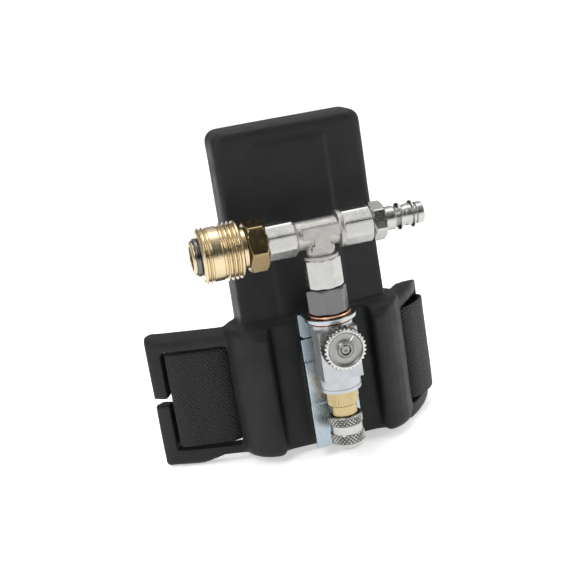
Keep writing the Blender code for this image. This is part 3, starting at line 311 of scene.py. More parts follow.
def satin_metal(name, colour, rough, metallic):
    """Bead-blasted and anodised aluminium."""
    made, shader = new_material(name, colour, rough, metallic)
    where = coordinates(made, "Object")
    cloud = texture(made, where, scale=180.0)
    drive(made, shader, "Base Color", cloud, shade(colour, 0.93), shade(colour, 1.06))
    blast = texture(made, where, scale=5200.0, detail=2.0)
    drive(made, shader, "Roughness", blast, rough * 0.85, rough * 1.2)
    bump(made, shader, blast, strength=0.22, distance=0.00006)
    return made


def swing(made, angle):
    """The absolute sine of an angle, which runs from groove to ridge and back."""
    return math_node(made, "ABSOLUTE", math_node(made, "SINE", angle))


def knurled_metal(name, colour, rough):
    """Plated metal with a diamond knurl in two bands round the valve's axis, with painted shade darkening
    its grooves.
    """
    made, shader = new_material(name, colour, rough, 1.0)
    place = components(made, "Object")
    z = place["Z"]
    y = math_node(made, "SUBTRACT", place["Y"], AXIS_Y * MM)
    turn = math_node(made, "MULTIPLY", math_node(made, "ARCTAN2", y, place["X"]), KNURL_COUNT / 2)
    lead = math_node(made, "MULTIPLY", z, KNURL_COUNT / 2 * KNURL_LEAD / MM)
    first = swing(made, math_node(made, "ADD", turn, lead))
    second = swing(made, math_node(made, "SUBTRACT", turn, lead))
    ridge = math_node(made, "MINIMUM", first, second)
    bands = 0.0
    for low, high in KNURL_BANDS:
        above = math_node(made, "GREATER_THAN", z, low * MM)
        below = math_node(made, "LESS_THAN", z, high * MM)
        bands = math_node(made, "ADD", bands, math_node(made, "MULTIPLY", above, below))
    plain = math_node(made, "SUBTRACT", 1.0, bands)
    height = math_node(made, "MAXIMUM", ridge, plain)
    # painted shade: the base colour goes nearly black down in the knurl's grooves
    drive(made, shader, "Base Color", height, shade(colour, 0.10), colour, at=(0.10, 0.65))
    fine = texture(made, coordinates(made, "Object"), scale=2200.0)
    drive(made, shader, "Roughness", fine, rough * 0.75, rough * 1.4)
    bump(made, shader, height, strength=0.5, distance=0.0003)
    bump(made, shader, fine, strength=0.15, distance=0.00006)
    return made


def woven(name, colour, across, along, depth):
    """Webbing: rows of weft ribs, each crossed by warp yarns that step over and under. Its colour holds
    painted shade in the hollows of the weave and a painted highlight on the yarn tops, over a little random
    fluff.
    """
    made, shader = new_material(name, colour, 0.8, Specular_IOR_Level=0.35)
    shader.inputs["Sheen Weight"].default_value = 0.12
    shader.inputs["Sheen Roughness"].default_value = 0.5
    place = components(made, "UV")
    columns = math_node(made, "MULTIPLY", place["X"], math.pi / across)
    side = math_node(made, "SIGN", math_node(made, "SINE", columns))
    stagger = math_node(made, "MULTIPLY", side, math.pi / 4)
    rows = math_node(made, "ADD", math_node(made, "MULTIPLY", place["Y"], math.pi / along), stagger)
    yarn = math_node(made, "POWER", swing(made, columns), 0.5)
    rib = math_node(made, "POWER", swing(made, rows), 0.7)
    relief = math_node(made, "MULTIPLY", yarn, rib)
    fluff = texture(made, coordinates(made, "Object"), scale=2500.0, detail=3.0)
    height = math_node(made, "ADD", relief, math_node(made, "MULTIPLY", fluff, 0.25))
    # painted shade and highlight: the base colour darkens in the weave's hollows and lightens on the yarn
    # tops; the fluff adds random tone
    drive(made, shader, "Base Color", height, shade(colour, 0.4), shade(colour, 1.8), at=(0.1, 1.0))
    drive(made, shader, "Roughness", height, 0.95, 0.6, at=(0.1, 1.0))
    bump(made, shader, height, strength=0.9, distance=depth)
    return made


# ---------------------------------------------------------------- mesh helpers

AXES = {
    "X": (Vector((1, 0, 0)), Vector((0, 1, 0)), Vector((0, 0, 1))),
    "Y": (Vector((0, 1, 0)), Vector((1, 0, 0)), Vector((0, 0, 1))),
    "Z": (Vector((0, 0, 1)), Vector((1, 0, 0)), Vector((0, 1, 0))),
}
ROW = Vector((0, AXIS_Y, 0))
KNOB = Vector((0, 0, KNOB_Z))


def skin(name, rings, closed=True):
    """A mesh over equal closed rings of points, with UVs: UV_AROUND a turn around, millimetres along."""
    count = len(rings[0])
    vertices = [p * MM for ring in rings for p in ring]
    faces, uvs, travelled = [], [], 0.0
    for k in range(len(rings) if closed else len(rings) - 1):
        low, high = k * count, ((k + 1) % len(rings)) * count
        further = travelled + (rings[(k + 1) % len(rings)][0] - rings[k][0]).length
        for i in range(count):
            j = (i + 1) % count
            faces.append((low + i, low + j, high + j, high + i))
            u, w = i / count * UV_AROUND, (i + 1) / count * UV_AROUND
            uvs += [(u, travelled), (w, travelled), (w, further), (u, further)]
        travelled = further
    if not closed:
        faces += [tuple(range(count)), tuple(range((len(rings) - 1) * count, len(rings) * count))]
        uvs += [(0.0, 0.0)] * (2 * count)
    mesh = bpy.data.meshes.new(name)
    mesh.from_pydata(vertices, [], faces)
    layer = mesh.uv_layers.new(name="UVMap")
    layer.data.foreach_set("uv", [value for uv in uvs for value in uv])
    return linked(name, outward(mesh))


def outward(mesh):
    work = bmesh.new()
    work.from_mesh(mesh)
    bmesh.ops.recalc_face_normals(work, faces=work.faces)
    work.to_mesh(mesh)
    work.free()
    return mesh


def softened(profile, size=0.15, steps=3):
    """Rounds every corner of a closed profile that turns by more than a slight angle."""
    slight, shortest, share = math.radians(12), 1e-6, 0.45
    result = []
    for i, point in enumerate(profile):
        here, before, after = Vector(point), Vector(profile[i - 1]), Vector(profile[(i + 1) % len(profile)])
        into, away = here - before, after - here
        if into.length < shortest or away.length < shortest or into.angle(away) < slight:
            result.append(point)
            continue
        first = here - into.normalized() * min(size, into.length * share)
        last = here + away.normalized() * min(size, away.length * share)
        for k in range(steps + 1):
            t = k / steps
            result.append(tuple(first * (1 - t) ** 2 + here * 2 * t * (1 - t) + last * t * t))
    return result


def even(count):
    return [2 * math.pi * i / count for i in range(count)]


def turned(name, axis, centre, profile, shape=None, angles=None):
    """Turns a closed profile of (level, radius) points about an axis; shape may change the radius."""
    along, first, second = AXES[axis]
    rings = []
    for level, radius in profile:
        ring = []
        for angle in angles or even(ROUND_STEPS):
            r = shape(angle, level, radius) if shape else radius
            ring.append(centre + along * level + (first * math.cos(angle) + second * math.sin(angle)) * r)
        rings.append(ring)
    return skin(name, rings)


def corner_radius(across, sides):
    return across / 2 / math.cos(math.pi / sides)


def flats(across, sides, turn, corner_cut=0.25, only=None):
    """Limits the radius to a polygon's flats, with the corners turned back a little."""
    half = math.pi / sides
    start = math.radians(turn)
    corner = corner_radius(across, sides) - corner_cut

    def limit(angle, level, radius):
        if only and not only[0] <= level <= only[1]:
            return radius
        offset = (angle - start) % (2 * half) - half
        return min(radius, across / 2 / math.cos(offset), corner)
    return limit


def flat_angles(across, sides, turn, corner_cut=0.25, steps=6):
    """Angles that put points on a polygon's corners and on the edges of their turned lands."""
    half = math.pi / sides
    edge = math.acos(across / 2 / (corner_radius(across, sides) - corner_cut))
    angles = []
    for k in range(sides):
        middle = math.radians(turn) + (2 * k + 1) * half
        angles += [middle - edge + 2 * edge * i / steps for i in range(steps + 1)] + [middle + half]
    return angles


def hex_drive(across, corner_cut):
    """Turns the round hole of a screw's profile that has the hexagon's width into a hexagon socket."""
    limit = flats(across, 6, 0.0, corner_cut)

    def shape(angle, level, radius):
        return limit(angle, level, across) if abs(radius - across / 2) < 0.01 else radius
    return shape


def chamfered(low, high, across, sides, size, end=0.15, steps=5):
    """The outer profile of a polygon bar whose ends are turned to a cone."""
    points = []
    inner, corner = across / 2 - end, corner_radius(across, sides)
    for k in range(steps + 1):
        points.append((low + size * k / steps, inner + (corner - inner) * k / steps))
    for k in range(steps + 1):
        points.append((high - size + size * k / steps, corner - (corner - inner) * k / steps))
    return points


def refined(node, width, segments=2):
    """A copy of a CAD node with flat faces joined up and its edges rounded."""
    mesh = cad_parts[node].data.copy()
    mesh.materials.clear()
    work = bmesh.new()
    work.from_mesh(mesh)
    bmesh.ops.remove_doubles(work, verts=work.verts, dist=1e-6)
    bmesh.ops.dissolve_limit(work, angle_limit=math.radians(1.0), verts=work.verts, edges=work.edges)
    work.to_mesh(mesh)
    work.free()
    return rounded_edges(linked(node + "_shape", mesh), width, segments)


def rounded_edges(made, width, segments=2, beyond=30.0):
    """Rounds every edge whose faces turn beyond an angle in degrees."""
    modifier = made.modifiers.new("edges", "BEVEL")
    modifier.width = width * MM
    modifier.segments = segments
    modifier.limit_method = "ANGLE"
    modifier.angle_limit = math.radians(beyond)
    modifier.harden_normals = False
    return bake(made)


def bake(made):
    """Applies an object's modifiers."""
    bpy.context.view_layer.update()
    graph = bpy.context.evaluated_depsgraph_get()
    mesh = bpy.data.meshes.new_from_object(made.evaluated_get(graph))
    made.modifiers.clear()
    made.data = mesh
    return made


def merged(name, objects):
    """One object from several overlapping closed ones."""
    work = bmesh.new()
    for member in objects:
        work.from_mesh(member.data)
        bpy.data.objects.remove(member, do_unlink=True)
    mesh = bpy.data.meshes.new(name)
    work.to_mesh(mesh)
    work.free()
    return linked(name, mesh)


def remeshed(made, voxel, rounds):
    """Fuses overlapping closed shapes into one skin and rounds its edges."""
    modifier = made.modifiers.new("fuse", "REMESH")
    modifier.mode = "VOXEL"
    modifier.voxel_size = voxel * MM
    modifier = made.modifiers.new("soften", "SMOOTH")
    modifier.iterations = rounds
    modifier.factor = 0.5
    return bake(made)


def join(target, tool):
    modifier = target.modifiers.new("join", "BOOLEAN")
    modifier.operation = "UNION"
    modifier.solver = "EXACT"
    modifier.object = tool
    bake(target)
    bpy.data.objects.remove(tool, do_unlink=True)


def box(name, low, high):
    x0, y0, z0 = low
    x1, y1, z1 = high
    rings = [[Vector(p) for p in ((x0, y0, z), (x1, y0, z), (x1, y1, z), (x0, y1, z))] for z in (z0, z1)]
    return skin(name, rings, closed=False)


def prism(name, outline, low, high):
    """An outline in XZ, extruded along Y."""
    return skin(name, [[Vector((a, y, b)) for a, b in outline] for y in (low, high)], closed=False)


def dressed(made, look):
    """Gives a piece one material and smooth shading."""
    made.data.materials.clear()
    made.data.materials.append(look)
    made.data.shade_smooth()


def finished(made, look, body, *nodes, sharp=40.0, weighted=True):
    """Gives a new piece its material and shading, and makes it ride on a body in place of CAD nodes."""
    dressed(made, look)
    made.data.set_sharp_from_angle(angle=math.radians(sharp))
    if weighted:
        modifier = made.modifiers.new("normals", "WEIGHTED_NORMAL")
        modifier.keep_sharp = True
    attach(made, body)
    if nodes:
        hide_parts(*nodes)


# ---------------------------------------------------------------- pad


def make_pad(look):
    """The pad's skin, fused, rounded and slightly wavy. It is set back so that it stays inside the solid."""
    setback = 0.2
    pad = linked("pad_shell_shape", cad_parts["pad_shell"].data.copy())
    remeshed(pad, 0.8, 9)
    normals = [vertex.normal.copy() for vertex in pad.data.vertices]
    for vertex, normal in zip(pad.data.vertices, normals):
        wave = noise.noise(vertex.co * 45.0) * 0.18 + noise.noise(vertex.co * 130.0) * 0.06
        vertex.co += normal * (wave - setback) * MM
    finished(pad, look, "hip_unit", "pad_shell", sharp=180.0, weighted=False)


# ---------------------------------------------------------------- bracket


def make_bracket(zinc, steel):
    make_flange_bracket(zinc)
    finished(refined("clip_plate", 0.35, 3), zinc, "hip_unit", "clip_plate")
    finished(refined("backing_plate", 0.3), zinc, "hip_unit", "backing_plate")
    for number, z in enumerate((-56.9, -62.4), 1):
        make_rivet(zinc, f"bracket_rivet_{number}", z)
    make_clip_screw(steel, "clip_screw_upper", -78.0, -39.8)
    make_clip_screw(steel, "clip_screw_lower", -102.0, -38.9)


def make_flange_bracket(zinc):
    """A ring round the nipple's thread, a neck and a bent-down plate with a return at each side."""
    flange_top, sheet, neck, half = -39.5, 1.6, 6.5, 12.7
    face, foot, ear, back = -40.6, -53.3, -41.4, -34.6
    tongue, tongue_foot, corner = 5.0, -65.0, 1.5
    hole, rim = 6.6, 12.25
    ring = turned("flange_bracket_shape", "Z", ROW, [
        (flange_top, hole), (flange_top, rim), (flange_top - sheet, rim), (flange_top - sheet, hole)])
    outline = [(-half, foot + corner), (-half, ear), (-half + corner, ear), (-neck - 1.6, -45.6),
               (-neck - 1.6, -47.2), (-neck, -47.2), (-neck, flange_top - 0.05)]
    outline += [(-x, z) for x, z in reversed(outline)]
    outline += [(half - corner, foot), (tongue, foot), (tongue, tongue_foot), (-tongue, tongue_foot),
                (-tongue, foot), (-half + corner, foot)]
    neck_plate = box("neck", (-neck, AXIS_Y + 9.5, flange_top - sheet), (neck, face + sheet, flange_top))
    join(ring, neck_plate)
    join(ring, prism("plate", outline, face, face + sheet))
    for side in (-1, 1):
        inner, outer = sorted((side * (half - sheet), side * half))
        join(ring, box("return", (inner, face + 0.4, foot + corner), (outer, back, ear)))
    rounded_edges(ring, 0.3, 3)
    finished(ring, zinc, "hip_unit", "flange_bracket")


def make_rivet(zinc, name, z):
    profile = [(-42.0, 0.02), (-42.0, 1.5), (-41.6, 2.4), (-40.9, 2.7), (-40.9, 1.5), (-36.7, 1.5),
               (-36.7, 2.6), (-36.0, 2.6), (-36.0, 0.02)]
    rivet = turned(name + "_shape", "Y", Vector((0, 0, z)), softened(profile, 0.2), None, even(40))
    finished(rivet, zinc, "hip_unit", name)


def make_clip_screw(steel, name, z, seat):
    """A button-head screw whose head rests on the clip plate at the seat."""
    tip, shank, drive_across = -5.0, 2.0, 2.5
    profile = [(tip, 0.02), (tip, shank), (seat, shank), (seat, 3.5), (seat - 1.7, 3.2), (seat - 2.2, 2.5),
               (seat - 2.2, drive_across / 2), (seat - 1.0, drive_across / 2), (seat - 1.0, 0.02)]
    screw = turned(name + "_shape", "Y", Vector((0, 0, z)), softened(profile, 0.12),
                   hex_drive(drive_across, 0.05), even(60))
    finished(screw, steel, "hip_unit", name)


# ---------------------------------------------------------------- tee row


def make_tee(casting, turned_nickel):
    across, sides, turn, corner_cut, bore, thread = 16.6, 8, 22.5, 0.15, 3.7, 5.6
    limit = flats(across, sides, turn, corner_cut)
    angles = flat_angles(across, sides, turn, corner_cut)
    for name, axis, low, high, step in (
            ("tee_socket_left", "X", -25.3, -11.9, -14.3),
            ("tee_socket_right", "X", 11.1, 25.1, 14.1),
            ("tee_socket_foot", "Z", -25.5, -11.5, -14.5)):
        at_high, at_low = (thread, bore) if low > 0 else (bore, thread)
        inside = [(high, at_high), (step, at_high), (step, at_low), (low, at_low)]
        profile = chamfered(low, high, across, sides, 0.7) + softened(inside, 0.2)
        socket = turned(name, axis, ROW, profile, limit, angles)
        finished(socket, turned_nickel, "hip_unit", "tee_body", sharp=30)
    run = turned("run", "X", ROW, [
        (-13.4, 3.8), (-13.4, 7.2), (-12.6, 8.1), (-11.6, 8.0), (-10.9, 6.85), (8.6, 6.85), (9.3, 8.75),
        (11.4, 8.75), (11.9, 8.0), (11.9, 3.8)])
    stem = turned("stem", "Z", ROW, [
        (2.0, 3.7), (2.0, 6.6), (-9.4, 6.6), (-10.2, 8.1), (-12.0, 8.1), (-12.4, 7.4), (-12.4, 3.7)])
    crotch = turned("crotch", "Z", ROW, [
        (5.0, 4.0), (2.5, 7.2), (-3.0, 7.6), (-6.2, 6.9), (-8.0, 5.0), (-8.0, 4.0)])
    mark = [(-8.8, 4.4), (-8.8, -0.8), (-3.8, -0.8), (-3.8, -4.2), (-5.2, -4.6), (-5.4, -7.0), (-3.6, -8.2),
            (3.6, -8.2), (5.4, -7.0), (5.2, -4.6), (3.8, -4.2), (3.8, -0.8), (8.8, -0.8), (8.8, 4.4)]
    plateau = prism("plateau", mark, AXIS_Y - 7.65, AXIS_Y - 4.5)
    body = remeshed(merged("tee_body_shape", [run, stem, crotch, plateau]), 0.22, 5)
    finished(body, casting, "hip_unit", "tee_body", sharp=180, weighted=False)


def make_coupler(brass, bronze, steel, inside_look):
    across, turn = 22.0, 8.0
    profile = chamfered(-34.5, -25.6, across, 6, 1.3)
    profile += [(-25.6, 5.3), (-16.2, 5.3), (-15.6, 4.6), (-15.6, 3.6), (-31.5, 3.6), (-31.5, 5.4),
                (-40.5, 5.4), (-40.5, 7.0), (-34.5, 7.0)]
    body = turned("coupler_rear_body_shape", "X", ROW, profile, flats(across, 6, turn),
                  flat_angles(across, 6, turn, steps=12))
    finished(body, bronze, "hip_unit", "coupler_rear_body", sharp=32)
    left, right = -59.9, -34.8
    profile = [(left, 5.6), (left, 7.2), (left + 0.8, 8.0), (left + 1.2, 8.0), (left + 1.2, 7.6),
               (-40.0, 7.6), (-39.2, 9.6), (right, 9.6), (right, 7.35), (-41.0, 7.35), (-41.0, 6.4),
               (-48.0, 6.4), (-48.0, 5.6)]
    barrel = turned("coupler_front_body_shape", "X", ROW, softened(profile, 0.2))
    finished(barrel, brass, "hip_unit", "coupler_front_body")
    left = -58.4
    profile = [(left, 7.9), (left, 8.5), (left + 0.5, 8.8), (left + 1.7, 8.8), (left + 2.1, 8.4),
               (left + 2.1, 7.9)]
    ring = turned("coupler_nose_ring_shape", "X", ROW, softened(profile, 0.12))
    finished(ring, steel, "hip_unit", "coupler_nose_ring")
    crest, root, band, left, right = 13.5, 12.1, 12.6, -56.2, -37.2
    outer = [(left, 11.6)]
    for x in (-55.0, -53.1):
        outer += [(x - 0.62, root), (x - 0.1, crest - 0.35), (x + 0.1, crest - 0.35), (x + 0.62, root)]
    outer += [(-51.8, root), (-51.5, band), (-46.9, band), (-46.4, root)]
    for x in (-44.9, -42.8, -40.7):
        outer += [(x - 0.68, root), (x - 0.1, crest), (x + 0.1, crest), (x + 0.68, root)]
    outer += [(-39.3, root), (-38.9, crest - 0.1), (-38.0, crest - 0.1), (right, 12.2)]
    inner = [(right, 10.0), (-46.5, 10.0), (-46.5, 8.0), (-53.6, 8.0), (-54.0, 8.9), (-55.6, 8.9),
             (-55.6, 8.2), (left, 8.2)]
    sleeve = turned("coupler_sleeve_shape", "X", ROW, softened(outer + inner, 0.16), None, even(160))
    finished(sleeve, brass, "coupler_sleeve", "coupler_sleeve", sharp=60)
    profile = [(-45.6, 0.02), (-45.6, 2.2), (-44.8, 3.4), (-44.0, 5.0), (-42.2, 5.0), (-42.2, 2.0),
               (-40.6, 1.8), (-40.6, 0.02)]
    poppet = turned("coupler_poppet_shape", "X", ROW, softened(profile, 0.2), None, even(64))
    finished(poppet, inside_look, "coupler_poppet", "coupler_poppet")


def make_plug(nickel):
    left, across, turn = 25.4, 16.4, 18.0
    start = left + 6.4
    hex_part = chamfered(left, start, across, 6, 1.0)
    spigot = [
        (0.0, 5.6), (5.0, 5.6), (5.6, 5.1), (7.0, 4.7), (7.4, 6.4), (8.3, 6.4), (8.7, 4.9), (10.2, 4.9),
        (11.4, 5.2), (13.4, 5.2), (13.8, 6.4), (14.6, 6.4), (15.0, 4.3), (15.8, 4.3), (16.2, 5.1),
        (19.0, 5.1), (19.5, 4.6)]
    inside = [(start + 19.5, 3.0), (15.8, 3.0), (15.8, 4.6), (16.4, 5.3), (left, 5.3)]
    profile = hex_part + softened([(start + x, r) for x, r in spigot] + inside, 0.14)
    limit = flats(across, 6, turn, only=(left - 0.01, start + 0.01))
    plug = turned("plug_nipple_shape", "X", ROW, profile, limit, flat_angles(across, 6, turn, steps=14))
    finished(plug, nickel, "hip_unit", "plug_nipple", sharp=32)


# ---------------------------------------------------------------- valve


def make_nipple(steel, copper):
    across, turn = 17.6, 4.0
    profile = chamfered(-37.9, -25.8, across, 6, 1.0)
    profile += [(-25.8, 5.3), (-16.5, 5.3), (-16.0, 4.6), (-16.0, 3.2), (-46.7, 3.2), (-46.7, 5.2),
                (-46.2, 5.8), (-37.9, 5.8)]
    nipple = turned("hex_nipple_shape", "Z", ROW, profile, flats(across, 6, turn),
                    flat_angles(across, 6, turn, steps=12))
    finished(nipple, steel, "hip_unit", "hex_nipple", sharp=32)
    for label, top in (("upper", -38.2), ("lower", -41.4)):
        profile = [(top, 6.3), (top, 10.1), (top - 1.0, 10.1), (top - 1.0, 6.3)]
        washer = turned(f"copper_washer_{label}_shape", "Z", ROW, softened(profile, 0.3))
        finished(washer, copper, "hip_unit", f"copper_washer_{label}")


def make_valve(anodised, nickel):
    top, foot, radius = -42.7, -76.7, 10.0
    half, face, block_top, block_foot = 9.6, 9.8, -44.9, -69.6
    edge = math.atan2(half, face)

    def block(angle, level, r):
        """Squares the front half of the round body between two levels and trims its front corners."""
        if r < radius - 0.3 or not block_foot - 0.001 <= level <= block_top + 0.001:
            return r
        offset = abs((angle + math.pi / 2 + math.pi) % (2 * math.pi) - math.pi)
        if offset > math.pi / 2:
            return r
        if offset <= edge:
            return max(r, face / math.cos(offset)) - 0.12 * (abs(offset - edge) < 0.02)
        return max(r, half / math.sin(offset))

    front = -math.pi / 2
    angles = [front + edge * i / 14 for i in range(-14, 15)]
    angles += [front + edge + (math.pi / 2 - edge) * i / 6 for i in range(1, 7)]
    angles += [math.pi * i / 36 for i in range(1, 36)]
    angles += [math.pi + (math.pi / 2 - edge) * i / 6 for i in range(0, 6)]
    profile = [(top, 6.2), (top, 9.7), (top - 0.1, 9.9), (top - 0.3, radius), (block_top + 0.01, radius)]
    profile += [(block_top, radius), (block_foot, radius), (block_foot - 0.01, radius)]
    profile += [(foot + 2.4, radius), (foot + 2.2, radius - 0.3), (foot + 1.9, radius - 0.3),
                (foot + 1.7, radius), (foot + 0.3, radius), (foot + 0.1, radius - 0.1), (foot, radius - 0.4)]
    profile += [(foot, 5.0), (-65.0, 5.0), (-65.0, 1.8), (-47.6, 1.8), (-47.6, 6.2)]
    body = turned("valve_body_shape", "Z", ROW, profile, block, sorted(angles))
    finished(body, anodised, "hip_unit", "valve_body", sharp=25)
    at = VALVE_FACE - 2.3
    profile = [(at, 2.8), (at, 4.6), (at + 0.4, 5.0), (at + 2.0, 5.0), (at + 2.0, 4.1), (at + 3.5, 4.1),
               (at + 3.5, 2.8)]
    nut = turned("valve_gland_nut_shape", "Y", KNOB, softened(profile, 0.15), None, even(64))
    finished(nut, nickel, "hip_unit", "valve_gland_nut")


def make_knob(nickel, face_look, paint):
    teeth, depth, dish_edge = 30, 1.0, 8.3

    def toothed(angle, level, radius):
        if radius < 9.0:
            return radius
        crest = 0.5 + 0.5 * math.cos(teeth * angle)
        return radius - depth * (1 - crest ** 0.6)

    outer = [(KNOB_BACK, 9.6), (KNOB_BACK - 0.6, 10.2), (KNOB_FRONT + 1.0, 10.2), (KNOB_FRONT + 0.35, 9.95),
             (KNOB_FRONT + 0.08, 9.4)]
    dish = [(KNOB_FRONT, 8.8), (KNOB_FRONT, 8.35), (KNOB_FRONT + 0.2, 8.2), (KNOB_FRONT + 0.8, 7.95),
            (KNOB_FRONT + 1.1, 7.5)]
    dish += [(KNOB_FRONT + 1.1, 4.2), (KNOB_FRONT + 0.9, 3.9), (KNOB_FRONT + 0.2, 3.5), (KNOB_FRONT, 3.3),
             (KNOB_FRONT, 2.7), (KNOB_FRONT + 0.2, 2.5), (KNOB_FRONT + 1.5, 2.5), (KNOB_FRONT + 1.5, 1.4),
             (KNOB_FRONT + 2.3, 1.4), (KNOB_FRONT + 2.3, 2.7), (KNOB_BACK, 2.7)]
    knob = turned("valve_knob_shape", "Y", KNOB, outer + dish, toothed, even(360))
    finished(knob, nickel, "knob", "valve_knob", sharp=50)
    knob.data.materials.append(face_look)
    for face in knob.data.polygons:
        across = face.center / MM - KNOB
        if Vector((across.x, across.z)).length < dish_edge:
            face.material_index = 1

    front = KNOB_FRONT + 0.1
    drive_across = 1.5
    profile = [(front + 5.6, 0.02), (front + 5.6, 1.1), (front + 1.2, 1.1), (front + 1.2, 2.2),
               (front + 0.4, 2.2), (front, 1.7), (front, drive_across / 2), (front + 0.8, drive_across / 2),
               (front + 0.8, 0.02)]
    screw = turned("knob_screw_shape", "Y", KNOB, softened(profile, 0.12),
                   hex_drive(drive_across, 0.03), even(48))
    finished(screw, face_look, "knob", "knob_screw")
    line = box("knob_index_line", (4.5, KNOB_FRONT + 0.98, -0.22), (7.4, KNOB_FRONT + 1.2, 0.22))
    turn = Matrix.Rotation(math.radians(-INDEX_ANGLE), 4, "Y")
    line.data.transform(Matrix.Translation((0, 0, KNOB_Z * MM)) @ turn)
    finished(line, paint, "knob")


# ---------------------------------------------------------------- lower coupling


def make_lower_coupling(brass, nickel):
    top, foot, ribs = -77.0, -84.5, 36

    def knurled(angle, level, radius):
        if radius < 7.0 or level < foot:
            return radius
        return radius - 0.35 * (0.5 - 0.5 * math.cos(ribs * angle))

    profile = [(top, 7.0), (top - 0.4, 7.4), (foot + 0.4, 7.4), (foot, 7.0), (foot, 6.4), (-89.4, 6.4),
               (-89.8, 5.2), (-105.0, 5.2), (-105.6, 4.8), (-105.6, 3.9), (-92.0, 3.9), (-92.0, 2.4),
               (-68.0, 2.4), (-68.0, 4.7), (top, 4.7)]
    body = turned("outlet_adapter_shape", "Z", ROW, softened(profile, 0.15), knurled, even(288))
    finished(body, brass, "hip_unit", "outlet_adapter", sharp=50)

    def diamond(angle, level, radius):
        if radius < 8.0 or not any(low < level < high for low, high in KNURL_BANDS):
            return radius
        first = abs(math.sin(KNURL_COUNT / 2 * (angle + level * KNURL_LEAD)))
        second = abs(math.sin(KNURL_COUNT / 2 * (angle - level * KNURL_LEAD)))
        return radius - 0.42 * (1 - min(first, second) ** 0.7)

    spacing = 0.15
    outer = [(-89.7, 7.5), (-89.8, 7.7), (-90.1, 8.2), (-90.2, 8.3)]
    outer += [(-90.3 - spacing * k, 8.3) for k in range(27)]
    outer += [(-94.4, 8.2), (-94.6, 7.8), (-98.4, 7.8), (-98.6, 8.2)]
    outer += [(-98.8 - spacing * k, 8.3) for k in range(30)]
    outer += [(-103.4, 8.3), (-104.2, 8.15), (-105.0, 7.8), (-105.7, 7.3), (-106.2, 6.8), (-106.6, 6.3)]
    inner = [(-106.6, 6.0), (-105.2, 5.6), (-104.9, 6.4), (-102.5, 6.4), (-102.2, 5.6), (-97.5, 5.6),
             (-97.5, 7.0), (-89.7, 7.0)]
    sleeve = turned("lower_sleeve_shape", "Z", ROW, outer + inner, diamond, even(408))
    finished(sleeve, nickel, "lower_sleeve", "lower_sleeve", sharp=60)
    profile = [(-100.0, 0.02), (-100.0, 1.6), (-99.2, 2.4), (-98.6, 3.5), (-97.2, 3.5), (-97.2, 1.4),
               (-96.0, 1.3), (-96.0, 0.02)]
    poppet = turned("lower_poppet_shape", "Z", ROW, softened(profile, 0.15), None, even(64))
    finished(poppet, brass, "lower_poppet", "lower_poppet")


def make_spring(steel, body, axis):
    """A copy of a spring from the CAD nodes in one material, put in place of the node. The ends it would
    slide between are worked out but not used.
    """
    name = body + "_spring"
    spring = linked(name + "_shape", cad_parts[name].data.copy())
    dressed(spring, steel)
    corners = [vertex.co for vertex in spring.data.vertices]
    low = [min(point[i] for point in corners) for i in range(3)]
    high = [max(point[i] for point in corners) for i in range(3)]
    moving = [(a + b) / 2 for a, b in zip(low, high)]
    fixed = list(moving)
    moving[axis], fixed[axis] = low[axis], high[axis]
    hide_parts(name)
    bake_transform(spring)


# ---------------------------------------------------------------- belt


def smooth_route(points, step):
    """A curve through plan points, sampled at even steps."""
    dense = []
    for i in range(len(points) - 1):
        p0, p1 = Vector(points[max(i - 1, 0)]), Vector(points[i])
        p2, p3 = Vector(points[i + 1]), Vector(points[min(i + 2, len(points) - 1)])
        for k in range(20):
            t = k / 20
            dense.append(0.5 * (2 * p1 + (p2 - p0) * t + (2 * p0 - 5 * p1 + 4 * p2 - p3) * t ** 2
                                + (3 * p1 - p0 - 3 * p2 + p3) * t ** 3))
    dense.append(Vector(points[-1]))
    route, travelled, due = [dense[0]], 0.0, step
    for before, here in zip(dense, dense[1:]):
        travelled += (here - before).length
        if travelled >= due:
            route.append(here)
            due += step
    route[-1] = dense[-1]
    return route, travelled


def interpolate(knots, s):
    for (s0, v0), (s1, v1) in zip(knots, knots[1:]):
        if s <= s1:
            return v0 + (v1 - v0) * (s - s0) / (s1 - s0)
    return knots[-1][1]


